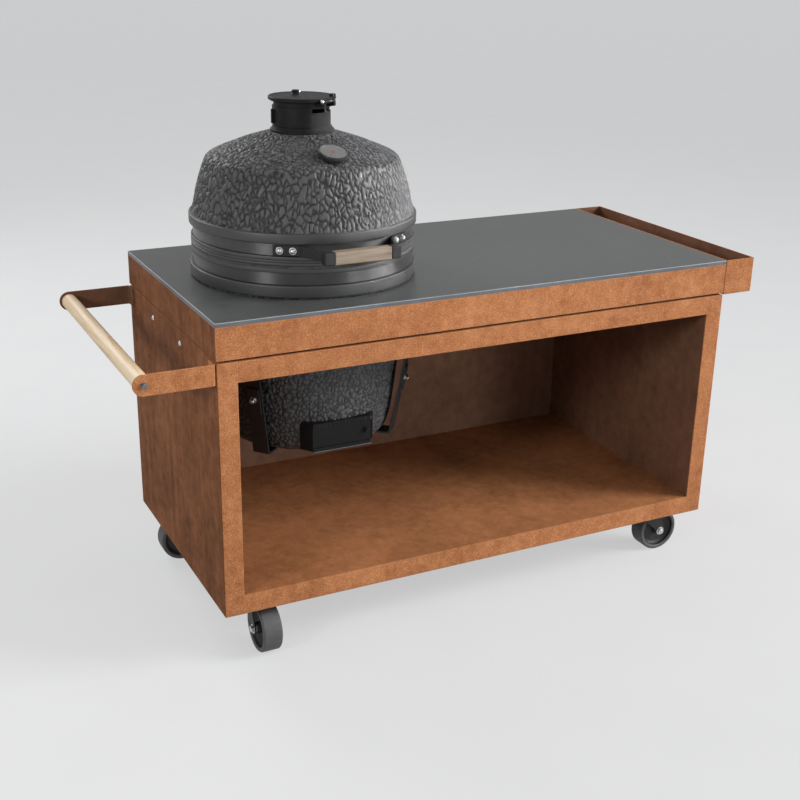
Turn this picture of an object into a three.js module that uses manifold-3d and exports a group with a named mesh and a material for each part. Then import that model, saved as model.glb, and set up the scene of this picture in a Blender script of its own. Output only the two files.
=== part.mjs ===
// A kamado grill hung in a wheeled steel table with a stone worktop.
// Millimetres, +Z up, the front faces -Y, and the floor is at zero.

import * as THREE from 'three';
import { mergeVertices } from 'three/addons/utils/BufferGeometryUtils.js';
import Module from 'manifold-3d';

const wasm = await Module();
wasm.setup();

// Driving dimensions of the table.
const worktop = { length: 1440, depth: 718, thickness: 10, holeClearance: 3 };
const sheet = 3;
const cabinet = { height: 645, edge: 50 };
const apron = { height: 79, flange: 30 };
const deck = { thickness: 6, inset: 12, holeClearance: 7 };
const tray = { width: 94 };

// Driving dimensions of the push handle.
const pushBar = { radius: 20, reach: 165, boltDepth: 30 };
const bracket = { height: 50, plate: 5, flange: 40, bend: 8 };
const barBolt = { shank: 4, head: 8, rise: 7 };

// Driving dimensions of a caster.
const wheel = { radius: 62.5, width: 50, rim: 9, webHalf: 9, hub: 15, hubHalf: 26, bevel: 3 };
const axle = { radius: 6, nut: 10, nutLength: 8 };
const fork = { legGap: 3, leg: 4, crown: 5, legFoot: 15, headRadius: 28, overWheel: 4 };
const caster = {
  insetX: 121, insetY: 98, trail: 42, headHeight: 20,
  plateLength: 105, plateWidth: 85, plate: 4,
};

// Driving dimensions of the kamado. Heights are measured from the worktop.
const rimRadius = 285;
const kamado = { fromLeft: 360, wall: 22, floor: 26, bowlDepth: 415, crownHeight: 351 };
const band = { thickness: 2.5, height: 29, recess: 9 };
const lipRecess = 4;
const bowlRim = { bottom: 4, bandBottom: 33, lip: 11, seal: 3 };
const domeRim = { lip: 23, rim: 24 };
const sealWidth = 18;

// Driving dimensions of the parts inside the kamado.
const fireBox = {
  height: 235, wall: 17, ledgeWidth: 28, ledgeHeight: 105, gapToBowl: 8, flare: 26,
};
const fireRing = { height: 170, flare: 19, wall: 17 };
const airPort = { width: 120, height: 46, aboveFloor: 5 };
const grate = { thickness: 8, slot: 10, pitch: 28, margin: 22 };
const grid = { rod: 5, rim: 6, pitch: 30, inset: 8 };

// Driving dimensions of the hangers and the draft door.
const hanger = { width: 45, plate: 5, angle: 40, standoff: 32, hook: 42, foot: 46, lean: 0.184 };
const draft = {
  halfFront: 79, halfBack: 100, depth: 27, height: 74, aboveBottom: 13,
  wall: 12, door: 4, rail: 3, railLip: 8, knob: 7, knobLength: 12,
};

// Driving dimensions of the hinge and the lid handle.
const hinge = {
  reach: 37, ear: 6, halfSpan: 38, pin: 6, boss: 12, foot: 5, footHalf: 48, pinOverhang: 8,
};
const grip = { length: 148, height: 30, depth: 24, cap: 16, standoff: 62, height0: 99 };
const arm = { plate: 5, height: 25, footStart: 38.5, footEnd: 25.5 };

// Driving dimensions of the chimney and the thermometer.
const tower = {
  radius: 70, wall: 6, collarLip: 9, collarHeight: 12, height: 73, flueStep: 12,
  slotHeight: 10, slotDrop: 14, slotSpan: 46, slotPitch: 54, slotCount: 3, firstSlot: -39, turn: -68,
};
const sleeve = {
  clearance: 0.9, wall: 2.5, height: 46, drop: 12, span: 176, middle: 247,
  tab: 7, tabHeight: 34, tabSpan: 6,
};
const cap = {
  overhang: 13, thickness: 11, knob: 10, knobHeight: 11, knobAt: 22, skirt: 4, tongueRoot: 12,
};
const capHinge = {
  offset: 7, pin: 3, halfWidth: 20, ear: 8, boss: 6, height: 5, clearance: 3, rootDrop: 10,
};
const gauge = {
  radius: 37, thickness: 10, lip: 3, recess: 3, collar: 21, lift: 5, seat: 2,
  stem: 4, stemLength: 55, holeClearance: 0.6,
};
const needle = { length: 26, width: 3, thickness: 1, hub: 4, pivot: 1.2, restAngle: 135 };

// Clearances and facet counts.
const fit = 0.3;
const overrun = 20;
const sides = { kamado: 44, hole: 44, tower: 36, small: 12, rod: 6, wheel: 24, hex: 6, bar: 24 };

// Outlines of the ceramic, as shares of the rim radius and of the bowl's or the dome's height.
const bowlShares = [
  [0.712, 1.0], [0.744, 0.983], [0.772, 0.945], [0.802, 0.863], [0.825, 0.759],
  [0.853, 0.59], [0.881, 0.482], [0.935, 0.241], [0.979, 0.02],
];
const domeShares = [
  [0.979, 0.016], [0.954, 0.131], [0.931, 0.288], [0.901, 0.445], [0.87, 0.576],
  [0.853, 0.644], [0.828, 0.7], [0.772, 0.75], [0.649, 0.823], [0.512, 0.899], [0.285, 1.0],
];

// Levels worked out from the driving dimensions.
const cabinetBottom = 2 * wheel.radius + caster.headHeight;
const cabinetTop = cabinetBottom + cabinet.height;
const apronBottom = cabinetTop + deck.thickness;
const apronTop = apronBottom + apron.height;
const worktopTop = apronTop + worktop.thickness;
const bandRadius = rimRadius - band.recess;
const lipRadius = rimRadius - lipRecess;
const bandSeat = bandRadius - band.thickness;
const bowlTop = bowlRim.bandBottom + band.height + bowlRim.lip;
const seam = bowlTop + bowlRim.seal + fit / 2;
const domeBottom = seam + fit / 2 + bowlRim.seal;
const domeBandBottom = domeBottom + domeRim.lip;
const domeRimBottom = domeBandBottom + band.height + 2 * fit;
const domeRimTop = domeRimBottom + domeRim.rim;
const domeRise = kamado.crownHeight - domeRimTop;
const innerFloor = kamado.floor - kamado.bowlDepth;

const flueRadius = tower.radius - tower.flueStep;
const capRadius = tower.radius + cap.overhang;
const capHingeReach = capRadius + capHinge.offset;

// Colours and finishes.
const finishes = {
  weatheredSteel: { color: 0xa8683f, roughness: 0.85, metalness: 0.2 },
  stone: { color: 0x55565a, roughness: 0.55, metalness: 0 },
  blackSteel: { color: 0x2b2c2e, roughness: 0.5, metalness: 0.6 },
  ceramic: { color: 0x3a3b3d, roughness: 0.6, metalness: 0 },
  fireclay: { color: 0xb9ab94, roughness: 0.9, metalness: 0 },
  iron: { color: 0x2e2f31, roughness: 0.7, metalness: 0.5 },
  stainless: { color: 0xc9ccd0, roughness: 0.25, metalness: 1 },
  felt: { color: 0x1d1d1e, roughness: 1, metalness: 0 },
  ash: { color: 0xdcc494, roughness: 0.6, metalness: 0 },
  oiledWood: { color: 0xc0aa80, roughness: 0.7, metalness: 0 },
  greyRubber: { color: 0x5f6163, roughness: 0.8, metalness: 0 },
  red: { color: 0xa8281e, roughness: 0.5, metalness: 0 },
};

const table = new THREE.Group();

// Adds one named mesh of a finish to a group.
function addPiece(group, name, geometry, finish) {
  const mesh = new THREE.Mesh(geometry, new THREE.MeshStandardMaterial(finish));
  mesh.name = name;
  group.add(mesh);
  return mesh;
}

// Adds an empty group at a place, turned about the vertical by an angle in degrees.
function addGroup(parent, place, degrees = 0) {
  const group = new THREE.Group();
  group.position.set(...place);
  group.rotation.z = THREE.MathUtils.degToRad(degrees);
  parent.add(group);
  return group;
}

// A closed geometry as a solid for cutting and joining.
function solidOf(geometry) {
  const bare = new THREE.BufferGeometry();
  bare.setAttribute('position', geometry.getAttribute('position').clone());
  if (geometry.index) bare.setIndex(geometry.index.clone());
  const merged = mergeVertices(bare, 1e-4);
  const corners = [];
  const index = merged.index.array;
  for (let i = 0; i < index.length; i += 3) {
    const [a, b, c] = [index[i], index[i + 1], index[i + 2]];
    if (a !== b && b !== c && c !== a) corners.push(a, b, c);
  }
  const vertProperties = new Float32Array(merged.attributes.position.array);
  const triVerts = new Uint32Array(corners);
  return new wasm.Manifold(new wasm.Mesh({ numProp: 3, vertProperties, triVerts }));
}

// A solid as a geometry.
function geometryOf(solid) {
  const mesh = solid.getMesh();
  const geometry = new THREE.BufferGeometry();
  geometry.setAttribute('position', new THREE.BufferAttribute(mesh.vertProperties, 3));
  geometry.setIndex(new THREE.BufferAttribute(mesh.triVerts, 1));
  const flat = geometry.toNonIndexed();
  flat.computeVertexNormals();
  return flat;
}

// One geometry with others cut away from it.
function cut(base, ...tools) {
  let solid = solidOf(base);
  for (const tool of tools) solid = solid.subtract(solidOf(tool));
  return geometryOf(solid);
}

// Several geometries joined into one body.
function join(...geometries) {
  let solid = solidOf(geometries[0]);
  for (const geometry of geometries.slice(1)) solid = solid.add(solidOf(geometry));
  return geometryOf(solid);
}

// What two geometries share.
function common(first, second) {
  return geometryOf(solidOf(first).intersect(solidOf(second)));
}

// A box from its lowest to its highest corner.
function block([x0, y0, z0], [x1, y1, z1]) {
  const geometry = new THREE.BoxGeometry(1, 1, 1);
  const position = geometry.attributes.position;
  for (let i = 0; i < position.count; i += 1) {
    const x = position.getX(i) > 0 ? x1 : x0;
    const y = position.getY(i) > 0 ? y1 : y0;
    const z = position.getZ(i) > 0 ? z1 : z0;
    position.setXYZ(i, x, y, z);
  }
  return geometry;
}

// An outline carried along an axis: [y, z] along x, [x, z] along y, or [x, y] along z.
function prism(outline, axis, start, end, holes = []) {
  const toShape = (points) => points.map(([u, v]) => new THREE.Vector2(u, v));
  const shape = new THREE.Shape(toShape(outline));
  for (const hole of holes) shape.holes.push(new THREE.Path(toShape(hole)));
  const geometry = new THREE.ExtrudeGeometry(shape, { depth: 1, bevelEnabled: false });
  const position = geometry.attributes.position;
  for (let i = 0; i < position.count; i += 1) {
    const [u, v] = [position.getX(i), position.getY(i)];
    const w = position.getZ(i) > 0.5 ? end : start;
    if (axis === 'x') position.setXYZ(i, w, u, v);
    if (axis === 'y') position.setXYZ(i, u, w, v);
    if (axis === 'z') position.setXYZ(i, u, v, w);
  }
  return axis === 'y' ? turnedInsideOut(geometry) : geometry;
}

// The same geometry with every face reversed.
function turnedInsideOut(geometry) {
  const position = geometry.attributes.position;
  const first = new THREE.Vector3();
  const second = new THREE.Vector3();
  for (let i = 0; i < position.count; i += 3) {
    first.fromBufferAttribute(position, i);
    second.fromBufferAttribute(position, i + 1);
    position.setXYZ(i, second.x, second.y, second.z);
    position.setXYZ(i + 1, first.x, first.y, first.z);
  }
  return geometry;
}

// The corners of a regular polygon, the first one at the bottom unless it is turned.
function circle(radius, count, [u, v] = [0, 0], turnShare = 0) {
  const corner = (i) => ((i + turnShare) / count) * 2 * Math.PI - Math.PI / 2;
  return Array.from({ length: count }, (_, i) => [
    u + radius * Math.cos(corner(i)),
    v + radius * Math.sin(corner(i)),
  ]);
}

// Points along an arc from one angle to another, in degrees.
function arc(radius, from, to, steps, [u, v] = [0, 0]) {
  return Array.from({ length: steps + 1 }, (_, i) => {
    const [du, dv] = polar(radius, from + ((to - from) * i) / steps);
    return [u + du, v + dv];
  });
}

// The radius whose polygon keeps its flats outside a given radius.
const around = (radius, count) => radius / Math.cos(Math.PI / count);

// A solid of revolution about the vertical, from a closed outline of [radius, height] points.
function turned(outline, count) {
  const area = outline.reduce((sum, [r, z], i) => {
    const [nextR, nextZ] = outline[(i + 1) % outline.length];
    return sum + r * nextZ - nextR * z;
  }, 0);
  const ordered = area > 0 ? outline : [...outline].reverse();
  const points = [...ordered, ordered[0]].map(([r, z]) => new THREE.Vector2(r, z));
  const geometry = new THREE.LatheGeometry(points, count);
  geometry.rotateX(Math.PI / 2);
  return geometry;
}

// A ring with a square section.
function ring(inner, outer, bottom, top, count) {
  return turned([[inner, bottom], [outer, bottom], [outer, top], [inner, top]], count);
}

// The outline of a bent strip: a path of points given a thickness on its left side.
function strip(path, thickness) {
  const left = path.map((point, i) => {
    const before = direction(path[Math.max(i - 1, 0)], path[Math.max(i, 1)]);
    const last = path.length - 1;
    const after = direction(path[Math.min(i, last - 1)], path[Math.min(i + 1, last)]);
    const mid = [before[0] + after[0], before[1] + after[1]];
    const scale = (2 * thickness) / (mid[0] ** 2 + mid[1] ** 2);
    return [point[0] - mid[1] * scale, point[1] + mid[0] * scale];
  });
  return [...path, ...left.reverse()];
}

function direction(from, to) {
  const length = Math.hypot(to[0] - from[0], to[1] - from[1]);
  return [(to[0] - from[0]) / length, (to[1] - from[1]) / length];
}

// A point on a circle, from its radius and its angle in degrees.
function polar(radius, degrees) {
  const angle = THREE.MathUtils.degToRad(degrees);
  return [radius * Math.cos(angle), radius * Math.sin(angle)];
}

// Worktop: one stone slab with a round opening for the kamado.
const kamadoPlace = [kamado.fromLeft, worktop.depth / 2];
const bowlReach = rimRadius * Math.max(...bowlShares.map(([share]) => share));
const worktopHole = bowlReach + worktop.holeClearance;

function addWorktop() {
  const slab = block([0, 0, apronTop], [worktop.length, worktop.depth, worktopTop]);
  const outline = circle(around(worktopHole, sides.hole), sides.hole, kamadoPlace);
  const hole = prism(outline, 'z', apronTop - overrun, worktopTop + overrun);
  addPiece(table, 'worktop', cut(slab, hole), finishes.stone);
}

// Aprons: folded sheets under the worktop's edges, on a recessed deck.
function addAprons() {
  const { length, depth } = worktop;
  const fold = [
    [apron.flange, apronBottom], [0, apronBottom], [0, apronTop], [apron.flange, apronTop],
  ];
  const front = strip(fold, -sheet);
  const rear = front.map(([y, z]) => [depth - y, z]);
  addPiece(table, 'apron_front', prism(front, 'x', 0, length), finishes.weatheredSteel);
  addPiece(table, 'apron_rear', prism(rear, 'x', 0, length), finishes.weatheredSteel);
  const notched = (x0, x1) => cut(
    block([x0, sheet, apronBottom], [x1, depth - sheet, apronTop]),
    ...[apronBottom, apronTop - sheet].flatMap((z) => [
      block([x0 - sheet, 0, z], [x1 + sheet, apron.flange, z + sheet]),
      block([x0 - sheet, depth - apron.flange, z], [x1 + sheet, depth, z + sheet]),
    ]),
  );
  addPiece(table, 'apron_left', notched(0, sheet), finishes.weatheredSteel);
  addPiece(table, 'apron_right', notched(length - sheet, length), finishes.weatheredSteel);
}

const deckHole = hangerRadiusAt(apronBottom - worktopTop) + deck.holeClearance;

function addDeck() {
  const plate = block(
    [deck.inset, deck.inset, cabinetTop],
    [worktop.length - deck.inset, worktop.depth - deck.inset, apronBottom],
  );
  const outline = circle(around(deckHole, sides.hole), sides.hole, kamadoPlace);
  const hole = prism(outline, 'z', cabinetTop - overrun, apronBottom + overrun);
  addPiece(table, 'deck_plate', cut(plate, hole), finishes.blackSteel);
}

function addTray() {
  const outer = block(
    [worktop.length, 0, cabinetTop],
    [worktop.length + tray.width, worktop.depth, worktopTop],
  );
  const inner = block(
    [worktop.length + sheet, sheet, cabinetTop + sheet],
    [worktop.length + tray.width - sheet, worktop.depth - sheet, worktopTop + overrun],
  );
  addPiece(table, 'side_tray', cut(outer, inner), finishes.weatheredSteel);
}

// Cabinet: hollow folded panels, each closed by its own inner sheet.
function addSidePanel(name, outside, inward) {
  const x = (distance) => outside + inward * distance;
  const low = (a, b) => Math.min(x(a), x(b));
  const high = (a, b) => Math.max(x(a), x(b));
  const outer = block(
    [low(0, cabinet.edge), 0, cabinetBottom],
    [high(0, cabinet.edge), worktop.depth, cabinetTop],
  );
  const hollow = block(
    [low(sheet, cabinet.edge + overrun), sheet, cabinetBottom + sheet],
    [high(sheet, cabinet.edge + overrun), worktop.depth - sheet, cabinetTop - sheet],
  );
  addPiece(table, `side_panel_${name}`, cut(outer, hollow), finishes.weatheredSteel);
  const liner = block(
    [low(cabinet.edge - sheet, cabinet.edge), sheet, cabinetBottom + sheet],
    [high(cabinet.edge - sheet, cabinet.edge), worktop.depth - sheet, cabinetTop - sheet],
  );
  addPiece(table, `side_liner_${name}`, liner, finishes.weatheredSteel);
}

function addFloor() {
  const [start, end] = [cabinet.edge, worktop.length - cabinet.edge];
  const floorTop = cabinetBottom + cabinet.edge;
  const pan = strip([
    [0, floorTop], [0, cabinetBottom], [worktop.depth, cabinetBottom], [worktop.depth, floorTop],
  ], sheet);
  addPiece(table, 'floor_pan', prism(pan, 'x', start, end), finishes.weatheredSteel);
  const liner = block(
    [start, sheet, floorTop - sheet],
    [end, worktop.depth - sheet, floorTop],
  );
  addPiece(table, 'floor_liner', liner, finishes.weatheredSteel);
}

function addBackAndRail() {
  const [start, end] = [cabinet.edge, worktop.length - cabinet.edge];
  const floorTop = cabinetBottom + cabinet.edge;
  const { depth } = worktop;
  const fold = [[depth, floorTop], [depth, cabinetTop], [depth - cabinet.edge, cabinetTop]];
  const back = strip(fold, sheet);
  addPiece(table, 'back_panel', prism(back, 'x', start, end), finishes.weatheredSteel);
  const rail = strip([
    [cabinet.edge, cabinetTop], [0, cabinetTop],
    [0, cabinetTop - cabinet.edge], [cabinet.edge, cabinetTop - cabinet.edge],
  ], sheet);
  addPiece(table, 'top_rail_front', prism(rail, 'x', start, end), finishes.weatheredSteel);
}

// Push handle: two bent brackets hold a wooden bar beside the cabinet.
const barPlace = [-pushBar.reach, cabinetTop - bracket.height / 2];

function addPushHandle() {
  const halfHeight = bracket.height / 2;
  const plan = strip([
    [-pushBar.reach - halfHeight, 0], [-bracket.bend, 0],
    [0, bracket.bend], [0, bracket.flange],
  ], bracket.plate);
  const bend = prism(plan, 'z', barPlace[1] - halfHeight, barPlace[1] + halfHeight);
  const side = [
    ...arc(halfHeight, 90, 270, sides.bar / 2, barPlace),
    [overrun, barPlace[1] - halfHeight], [overrun, barPlace[1] + halfHeight],
  ];
  const rounded = prism(side, 'y', -overrun, worktop.depth / 2);
  const bore = circle(barBolt.shank + fit, sides.small, barPlace);
  const front = cut(common(bend, rounded), prism(bore, 'y', -overrun, bracket.flange));
  const rear = front.clone();
  rear.scale(1, -1, 1);
  rear.translate(0, worktop.depth, 0);
  addPiece(table, 'push_bracket_front', front, finishes.weatheredSteel);
  addPiece(table, 'push_bracket_rear', turnedInsideOut(rear), finishes.weatheredSteel);

  const [near, far] = [bracket.plate, worktop.depth - bracket.plate];
  const rod = prism(circle(pushBar.radius, sides.bar, barPlace), 'y', near, far);
  const boltHole = circle(barBolt.shank + fit, sides.small, barPlace);
  const bar = cut(
    rod,
    prism(boltHole, 'y', near - overrun, near + pushBar.boltDepth),
    prism(boltHole, 'y', far - pushBar.boltDepth, far + overrun),
  );
  addPiece(table, 'push_bar', bar, finishes.ash);

  const shank = circle(barBolt.shank, sides.small, barPlace);
  const head = circle(barBolt.head, sides.small, barPlace);
  const boltReach = near + pushBar.boltDepth - fit;
  const frontBolt = join(
    prism(shank, 'y', -barBolt.rise, boltReach),
    prism(head, 'y', -barBolt.rise, 0),
  );
  const rearBolt = join(
    prism(shank, 'y', worktop.depth - boltReach, worktop.depth + barBolt.rise),
    prism(head, 'y', worktop.depth, worktop.depth + barBolt.rise),
  );
  addPiece(table, 'push_bar_bolt_front', frontBolt, finishes.stainless);
  addPiece(table, 'push_bar_bolt_rear', rearBolt, finishes.stainless);
}

// Casters: a bolted plate, a swivelling fork that holds the axle, and a wheel.
function wheelGeometry() {
  const half = wheel.width / 2;
  const tread = around(wheel.radius, sides.wheel);
  const rim = tread - wheel.rim;
  const bore = around(axle.radius + fit, sides.wheel);
  const outline = [
    [bore, -wheel.hubHalf], [wheel.hub, -wheel.hubHalf], [wheel.hub, -wheel.webHalf],
    [rim, -wheel.webHalf], [rim + wheel.bevel, -half], [tread - wheel.bevel, -half],
    [tread, wheel.bevel - half], [tread, half - wheel.bevel],
    [tread - wheel.bevel, half], [rim + wheel.bevel, half],
    [rim, wheel.webHalf], [wheel.hub, wheel.webHalf],
    [wheel.hub, wheel.hubHalf], [bore, wheel.hubHalf],
  ];
  const geometry = turned(outline, sides.wheel);
  geometry.rotateZ(Math.PI / sides.wheel);
  geometry.rotateX(Math.PI / 2);
  return geometry;
}

const forkHalf = wheel.width / 2 + fork.legGap + fork.leg;
const forkTop = 2 * wheel.radius + fork.overWheel + fork.crown;

function forkGeometry() {
  const crownBottom = forkTop - fork.crown;
  const leg = [
    ...arc(fork.legFoot, 180, 360, sides.small / 2, [-caster.trail, wheel.radius]),
    [fork.headRadius, forkTop], [-fork.headRadius, forkTop],
  ];
  const legs = [1, -1].map((side) => {
    const inner = side * (forkHalf - fork.leg);
    const outer = side * forkHalf;
    return prism(leg, 'y', Math.min(inner, outer), Math.max(inner, outer));
  });
  const crown = block([-fork.headRadius, -forkHalf, crownBottom], [fork.headRadius, forkHalf, forkTop]);
  const place = [-caster.trail, wheel.radius];
  const nutHalf = forkHalf + axle.nutLength;
  const shaft = prism(circle(axle.radius, sides.small, place), 'y', -nutHalf, nutHalf);
  const nuts = [-nutHalf, forkHalf].map((start) => (
    prism(circle(axle.nut, sides.hex, place), 'y', start, start + axle.nutLength)
  ));
  return join(crown, ...legs, shaft, ...nuts);
}

function plateGeometry() {
  const top = cabinetBottom;
  const plate = block(
    [-caster.plateLength / 2, -caster.plateWidth / 2, top - caster.plate],
    [caster.plateLength / 2, caster.plateWidth / 2, top],
  );
  const race = prism(circle(fork.headRadius, sides.bar), 'z', forkTop + fit, top - caster.plate / 2);
  return join(plate, race);
}

function addCasters() {
  const { insetX, insetY, trail } = caster;
  const corners = [
    ['front_left', insetX, insetY, 90],
    ['front_right', worktop.length - insetX, insetY, 180],
    ['rear_left', insetX, worktop.depth - insetY, 0],
    ['rear_right', worktop.length - insetX, worktop.depth - insetY, 270],
  ];
  for (const [corner, x, y, degrees] of corners) {
    const place = addGroup(table, [x, y, 0]);
    const swivel = addGroup(place, [0, 0, 0], degrees);
    addPiece(place, `caster_plate_${corner}`, plateGeometry(), finishes.blackSteel);
    addPiece(swivel, `caster_fork_${corner}`, forkGeometry(), finishes.blackSteel);
    const turning = addGroup(swivel, [-trail, 0, wheel.radius]);
    addPiece(turning, `caster_wheel_${corner}`, wheelGeometry(), finishes.greyRubber);
  }
}

// Kamado: everything here is measured from the grill's axis at the worktop's top.
const kamadoGroup = addGroup(table, [...kamadoPlace, worktopTop]);
const lidParts = addGroup(kamadoGroup, [0, 0, 0]);

const bowlOuter = bowlShares.map(([r, z]) => [r * rimRadius, -z * kamado.bowlDepth]);
const domeOuter = domeShares.map(([r, z]) => [r * rimRadius, domeRimTop + z * domeRise]);

// The radius of the hangers' outer face at a height.
function hangerRadiusAt(height) {
  const bowlFoot = rimRadius * bowlShares[0][0];
  return bowlFoot + hanger.standoff + hanger.plate
    + hanger.lean * (height + kamado.bowlDepth);
}

function bowlOutline() {
  const bandTop = bowlRim.bandBottom + band.height + 2 * fit;
  const top = [
    [bowlReach, bowlRim.bottom], [rimRadius, bowlRim.bottom],
    [rimRadius, bowlRim.bandBottom - fit], [bandSeat - fit, bowlRim.bandBottom - fit],
    [bandSeat - fit, bandTop],
    [lipRadius, bandTop], [lipRadius, bowlTop],
    [lipRadius - kamado.wall, bowlTop],
  ];
  const inner = bowlOuter
    .map(([r, z]) => [r - kamado.wall, z])
    .filter(([, z], i) => z > innerFloor && i % 2 === 1)
    .reverse();
  const corner = [inner[inner.length - 1][0] - fit, innerFloor];
  return [[0, -kamado.bowlDepth], ...bowlOuter, ...top, ...inner, corner, [0, innerFloor]];
}

// The air port's space, from the grill's axis out through the front.
function portSpace() {
  const bottom = innerFloor + airPort.aboveFloor;
  return block(
    [-airPort.width / 2, -rimRadius, bottom],
    [airPort.width / 2, 0, bottom + airPort.height],
  );
}

function addBowl() {
  const bowl = cut(turned(bowlOutline(), sides.kamado), portSpace());
  addPiece(kamadoGroup, 'bowl', bowl, finishes.ceramic);
  const sealOuter = lipRadius - fit;
  const seal = ring(sealOuter - sealWidth, sealOuter, bowlTop, bowlTop + bowlRim.seal, sides.kamado);
  addPiece(kamadoGroup, 'bowl_gasket', seal, finishes.felt);
  const { bandBottom } = bowlRim;
  const strap = ring(bandSeat, bandRadius, bandBottom, bandBottom + band.height, sides.kamado);
  addPiece(kamadoGroup, 'bowl_band', strap, finishes.blackSteel);
}

// Fire box, fire ring, grate and cooking grid stand on each other inside the bowl.
function addFireParts() {
  const bowlInside = bowlOuter[2][0] - kamado.wall;
  const outer = bowlInside - fireBox.gapToBowl;
  const bottom = innerFloor + fit;
  const ledge = bottom + fireBox.ledgeHeight;
  const top = bottom + fireBox.height;
  const flare = outer + fireBox.flare;
  const hollow = outer - fireBox.wall;
  const box = turned([
    [hollow - fireBox.ledgeWidth, bottom], [outer, bottom], [flare, top],
    [flare - fireBox.wall, top], [hollow, ledge], [hollow - fireBox.ledgeWidth, ledge],
  ], sides.kamado);
  addPiece(kamadoGroup, 'fire_box', cut(box, portSpace()), finishes.fireclay);

  const ringTop = top + fireRing.height;
  const collar = turned([
    [flare - fireRing.wall, top], [flare, top],
    [flare + fireRing.flare, ringTop], [flare + fireRing.flare - fireRing.wall, ringTop],
  ], sides.kamado);
  addPiece(kamadoGroup, 'fire_ring', collar, finishes.fireclay);
  const firePlate = grateGeometry(hollow - fit - grate.margin, ledge);
  addPiece(kamadoGroup, 'fire_grate', firePlate, finishes.iron);
  const gridRadius = flare + fireRing.flare - grid.inset;
  addPiece(kamadoGroup, 'cooking_grid', gridGeometry(gridRadius, ringTop), finishes.stainless);
}

// A round plate with parallel slots.
function grateGeometry(radius, bottom) {
  const reach = radius - grate.margin;
  const rows = Math.floor(reach / grate.pitch);
  const slots = [];
  for (let row = -rows; row <= rows; row += 1) {
    const x = row * grate.pitch;
    const half = Math.sqrt(reach ** 2 - x ** 2);
    const [x0, x1] = [x - grate.slot / 2, x + grate.slot / 2];
    if (half > grate.slot) slots.push([[x0, -half], [x1, -half], [x1, half], [x0, half]]);
  }
  return prism(circle(radius, sides.hole), 'z', bottom, bottom + grate.thickness, slots);
}

// A rim with parallel rods across it and one rod under them.
function gridGeometry(radius, bottom) {
  const top = bottom + grid.rim;
  const inner = radius - grid.rim;
  const rim = ring(inner, radius, bottom, top, sides.kamado);
  const rows = Math.floor(inner / grid.pitch);
  const rods = [];
  for (let row = -rows; row <= rows; row += 1) {
    const x = row * grid.pitch;
    const half = Math.sqrt(inner ** 2 - x ** 2) + grid.rim / 2;
    const rod = circle(grid.rod / 2, sides.rod, [x, top - grid.rod / 2]);
    rods.push(prism(rod, 'y', -half, half));
  }
  const tie = circle(grid.rod / 2, sides.rod, [0, bottom + grid.rod / 2]);
  rods.push(prism(tie, 'x', -inner - grid.rim / 2, inner + grid.rim / 2));
  return join(rim, ...rods);
}

// Hangers: bent straps that hook over the deck and carry the bowl on their feet.
function hangerGeometry() {
  const deckTop = apronBottom - worktopTop;
  const hookBottom = deckTop + fit;
  const bowlBottom = -kamado.bowlDepth - fit;
  const footOuter = hangerRadiusAt(bowlBottom - hanger.plate);
  const path = [
    [hangerRadiusAt(hookBottom) + hanger.hook, hookBottom],
    [hangerRadiusAt(hookBottom), hookBottom],
    [footOuter, bowlBottom - hanger.plate],
    [footOuter - hanger.foot, bowlBottom - hanger.plate],
  ];
  return prism(strip(path, -hanger.plate), 'y', -hanger.width / 2, hanger.width / 2);
}

function addHangers() {
  const corners = [
    ['front_right', -hanger.angle], ['front_left', hanger.angle - 180],
    ['rear_right', hanger.angle], ['rear_left', 180 - hanger.angle],
  ];
  for (const [corner, degrees] of corners) {
    const group = addGroup(kamadoGroup, [0, 0, 0], degrees);
    addPiece(group, `hanger_${corner}`, hangerGeometry(), finishes.blackSteel);
  }
}

// Draft door: a plate that slides in front of the air port.
function addDraftDoor() {
  const bottom = draft.aboveBottom - kamado.bowlDepth;
  const top = bottom + draft.height;
  const near = ([, z]) => z > bottom - draft.height && z < top + draft.height;
  const bulge = bowlOuter.filter(near).map(([r, z]) => [r + fit, z]);
  const nearest = Math.max(...bulge.map(([r]) => r));
  const front = -nearest - fit;
  const back = front + draft.depth;
  const plan = [
    [-draft.halfFront, front], [draft.halfFront, front],
    [draft.halfBack, back], [-draft.halfBack, back],
  ];
  const bowlSpace = turned([
    [0, bulge[0][1]], ...bulge, [0, bulge[bulge.length - 1][1]],
  ], sides.kamado);
  const window = block(
    [-airPort.width / 2 - fit, front - overrun, bottom + draft.wall],
    [airPort.width / 2 + fit, 0, top - draft.wall],
  );
  const surround = cut(prism(plan, 'z', bottom, top), bowlSpace, window);
  const doorBack = front - fit;
  const doorFront = doorBack - draft.door;
  const lipFront = doorFront - fit - draft.rail;
  const rails = [[bottom, 1], [top, -1]].map(([edge, up]) => strip([
    [front, edge], [lipFront, edge], [lipFront, edge + up * draft.railLip],
  ], -up * draft.rail)).map((outline) => prism(outline, 'x', -draft.halfFront, draft.halfFront));
  const frame = join(surround, ...rails);
  addPiece(kamadoGroup, 'draft_frame', frame, finishes.blackSteel);

  const doorBottom = bottom + draft.rail + fit;
  const doorTop = top - draft.rail - fit;
  const plate = block([-draft.halfFront, doorFront, doorBottom], [draft.halfFront, doorBack, doorTop]);
  const knobPlace = [draft.halfFront - draft.wall, (doorBottom + doorTop) / 2];
  const knob = prism(
    circle(draft.knob, sides.small, knobPlace), 'y',
    doorFront - draft.knobLength, doorFront + draft.door / 2,
  );
  addPiece(kamadoGroup, 'draft_door', join(plate, knob), finishes.blackSteel);
}

// Dome: the lid's ceramic, its seal and its band.
const gaugeSeat = seatOnDome();

// Where the thermometer stands on the dome, and the tilt of the dome there.
function seatOnDome() {
  const [lower, upper] = domeOuter.slice(-3, -1);
  const tilt = Math.atan2(upper[1] - lower[1], lower[0] - upper[0]);
  return { radius: lower[0], height: lower[1], tilt };
}

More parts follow.
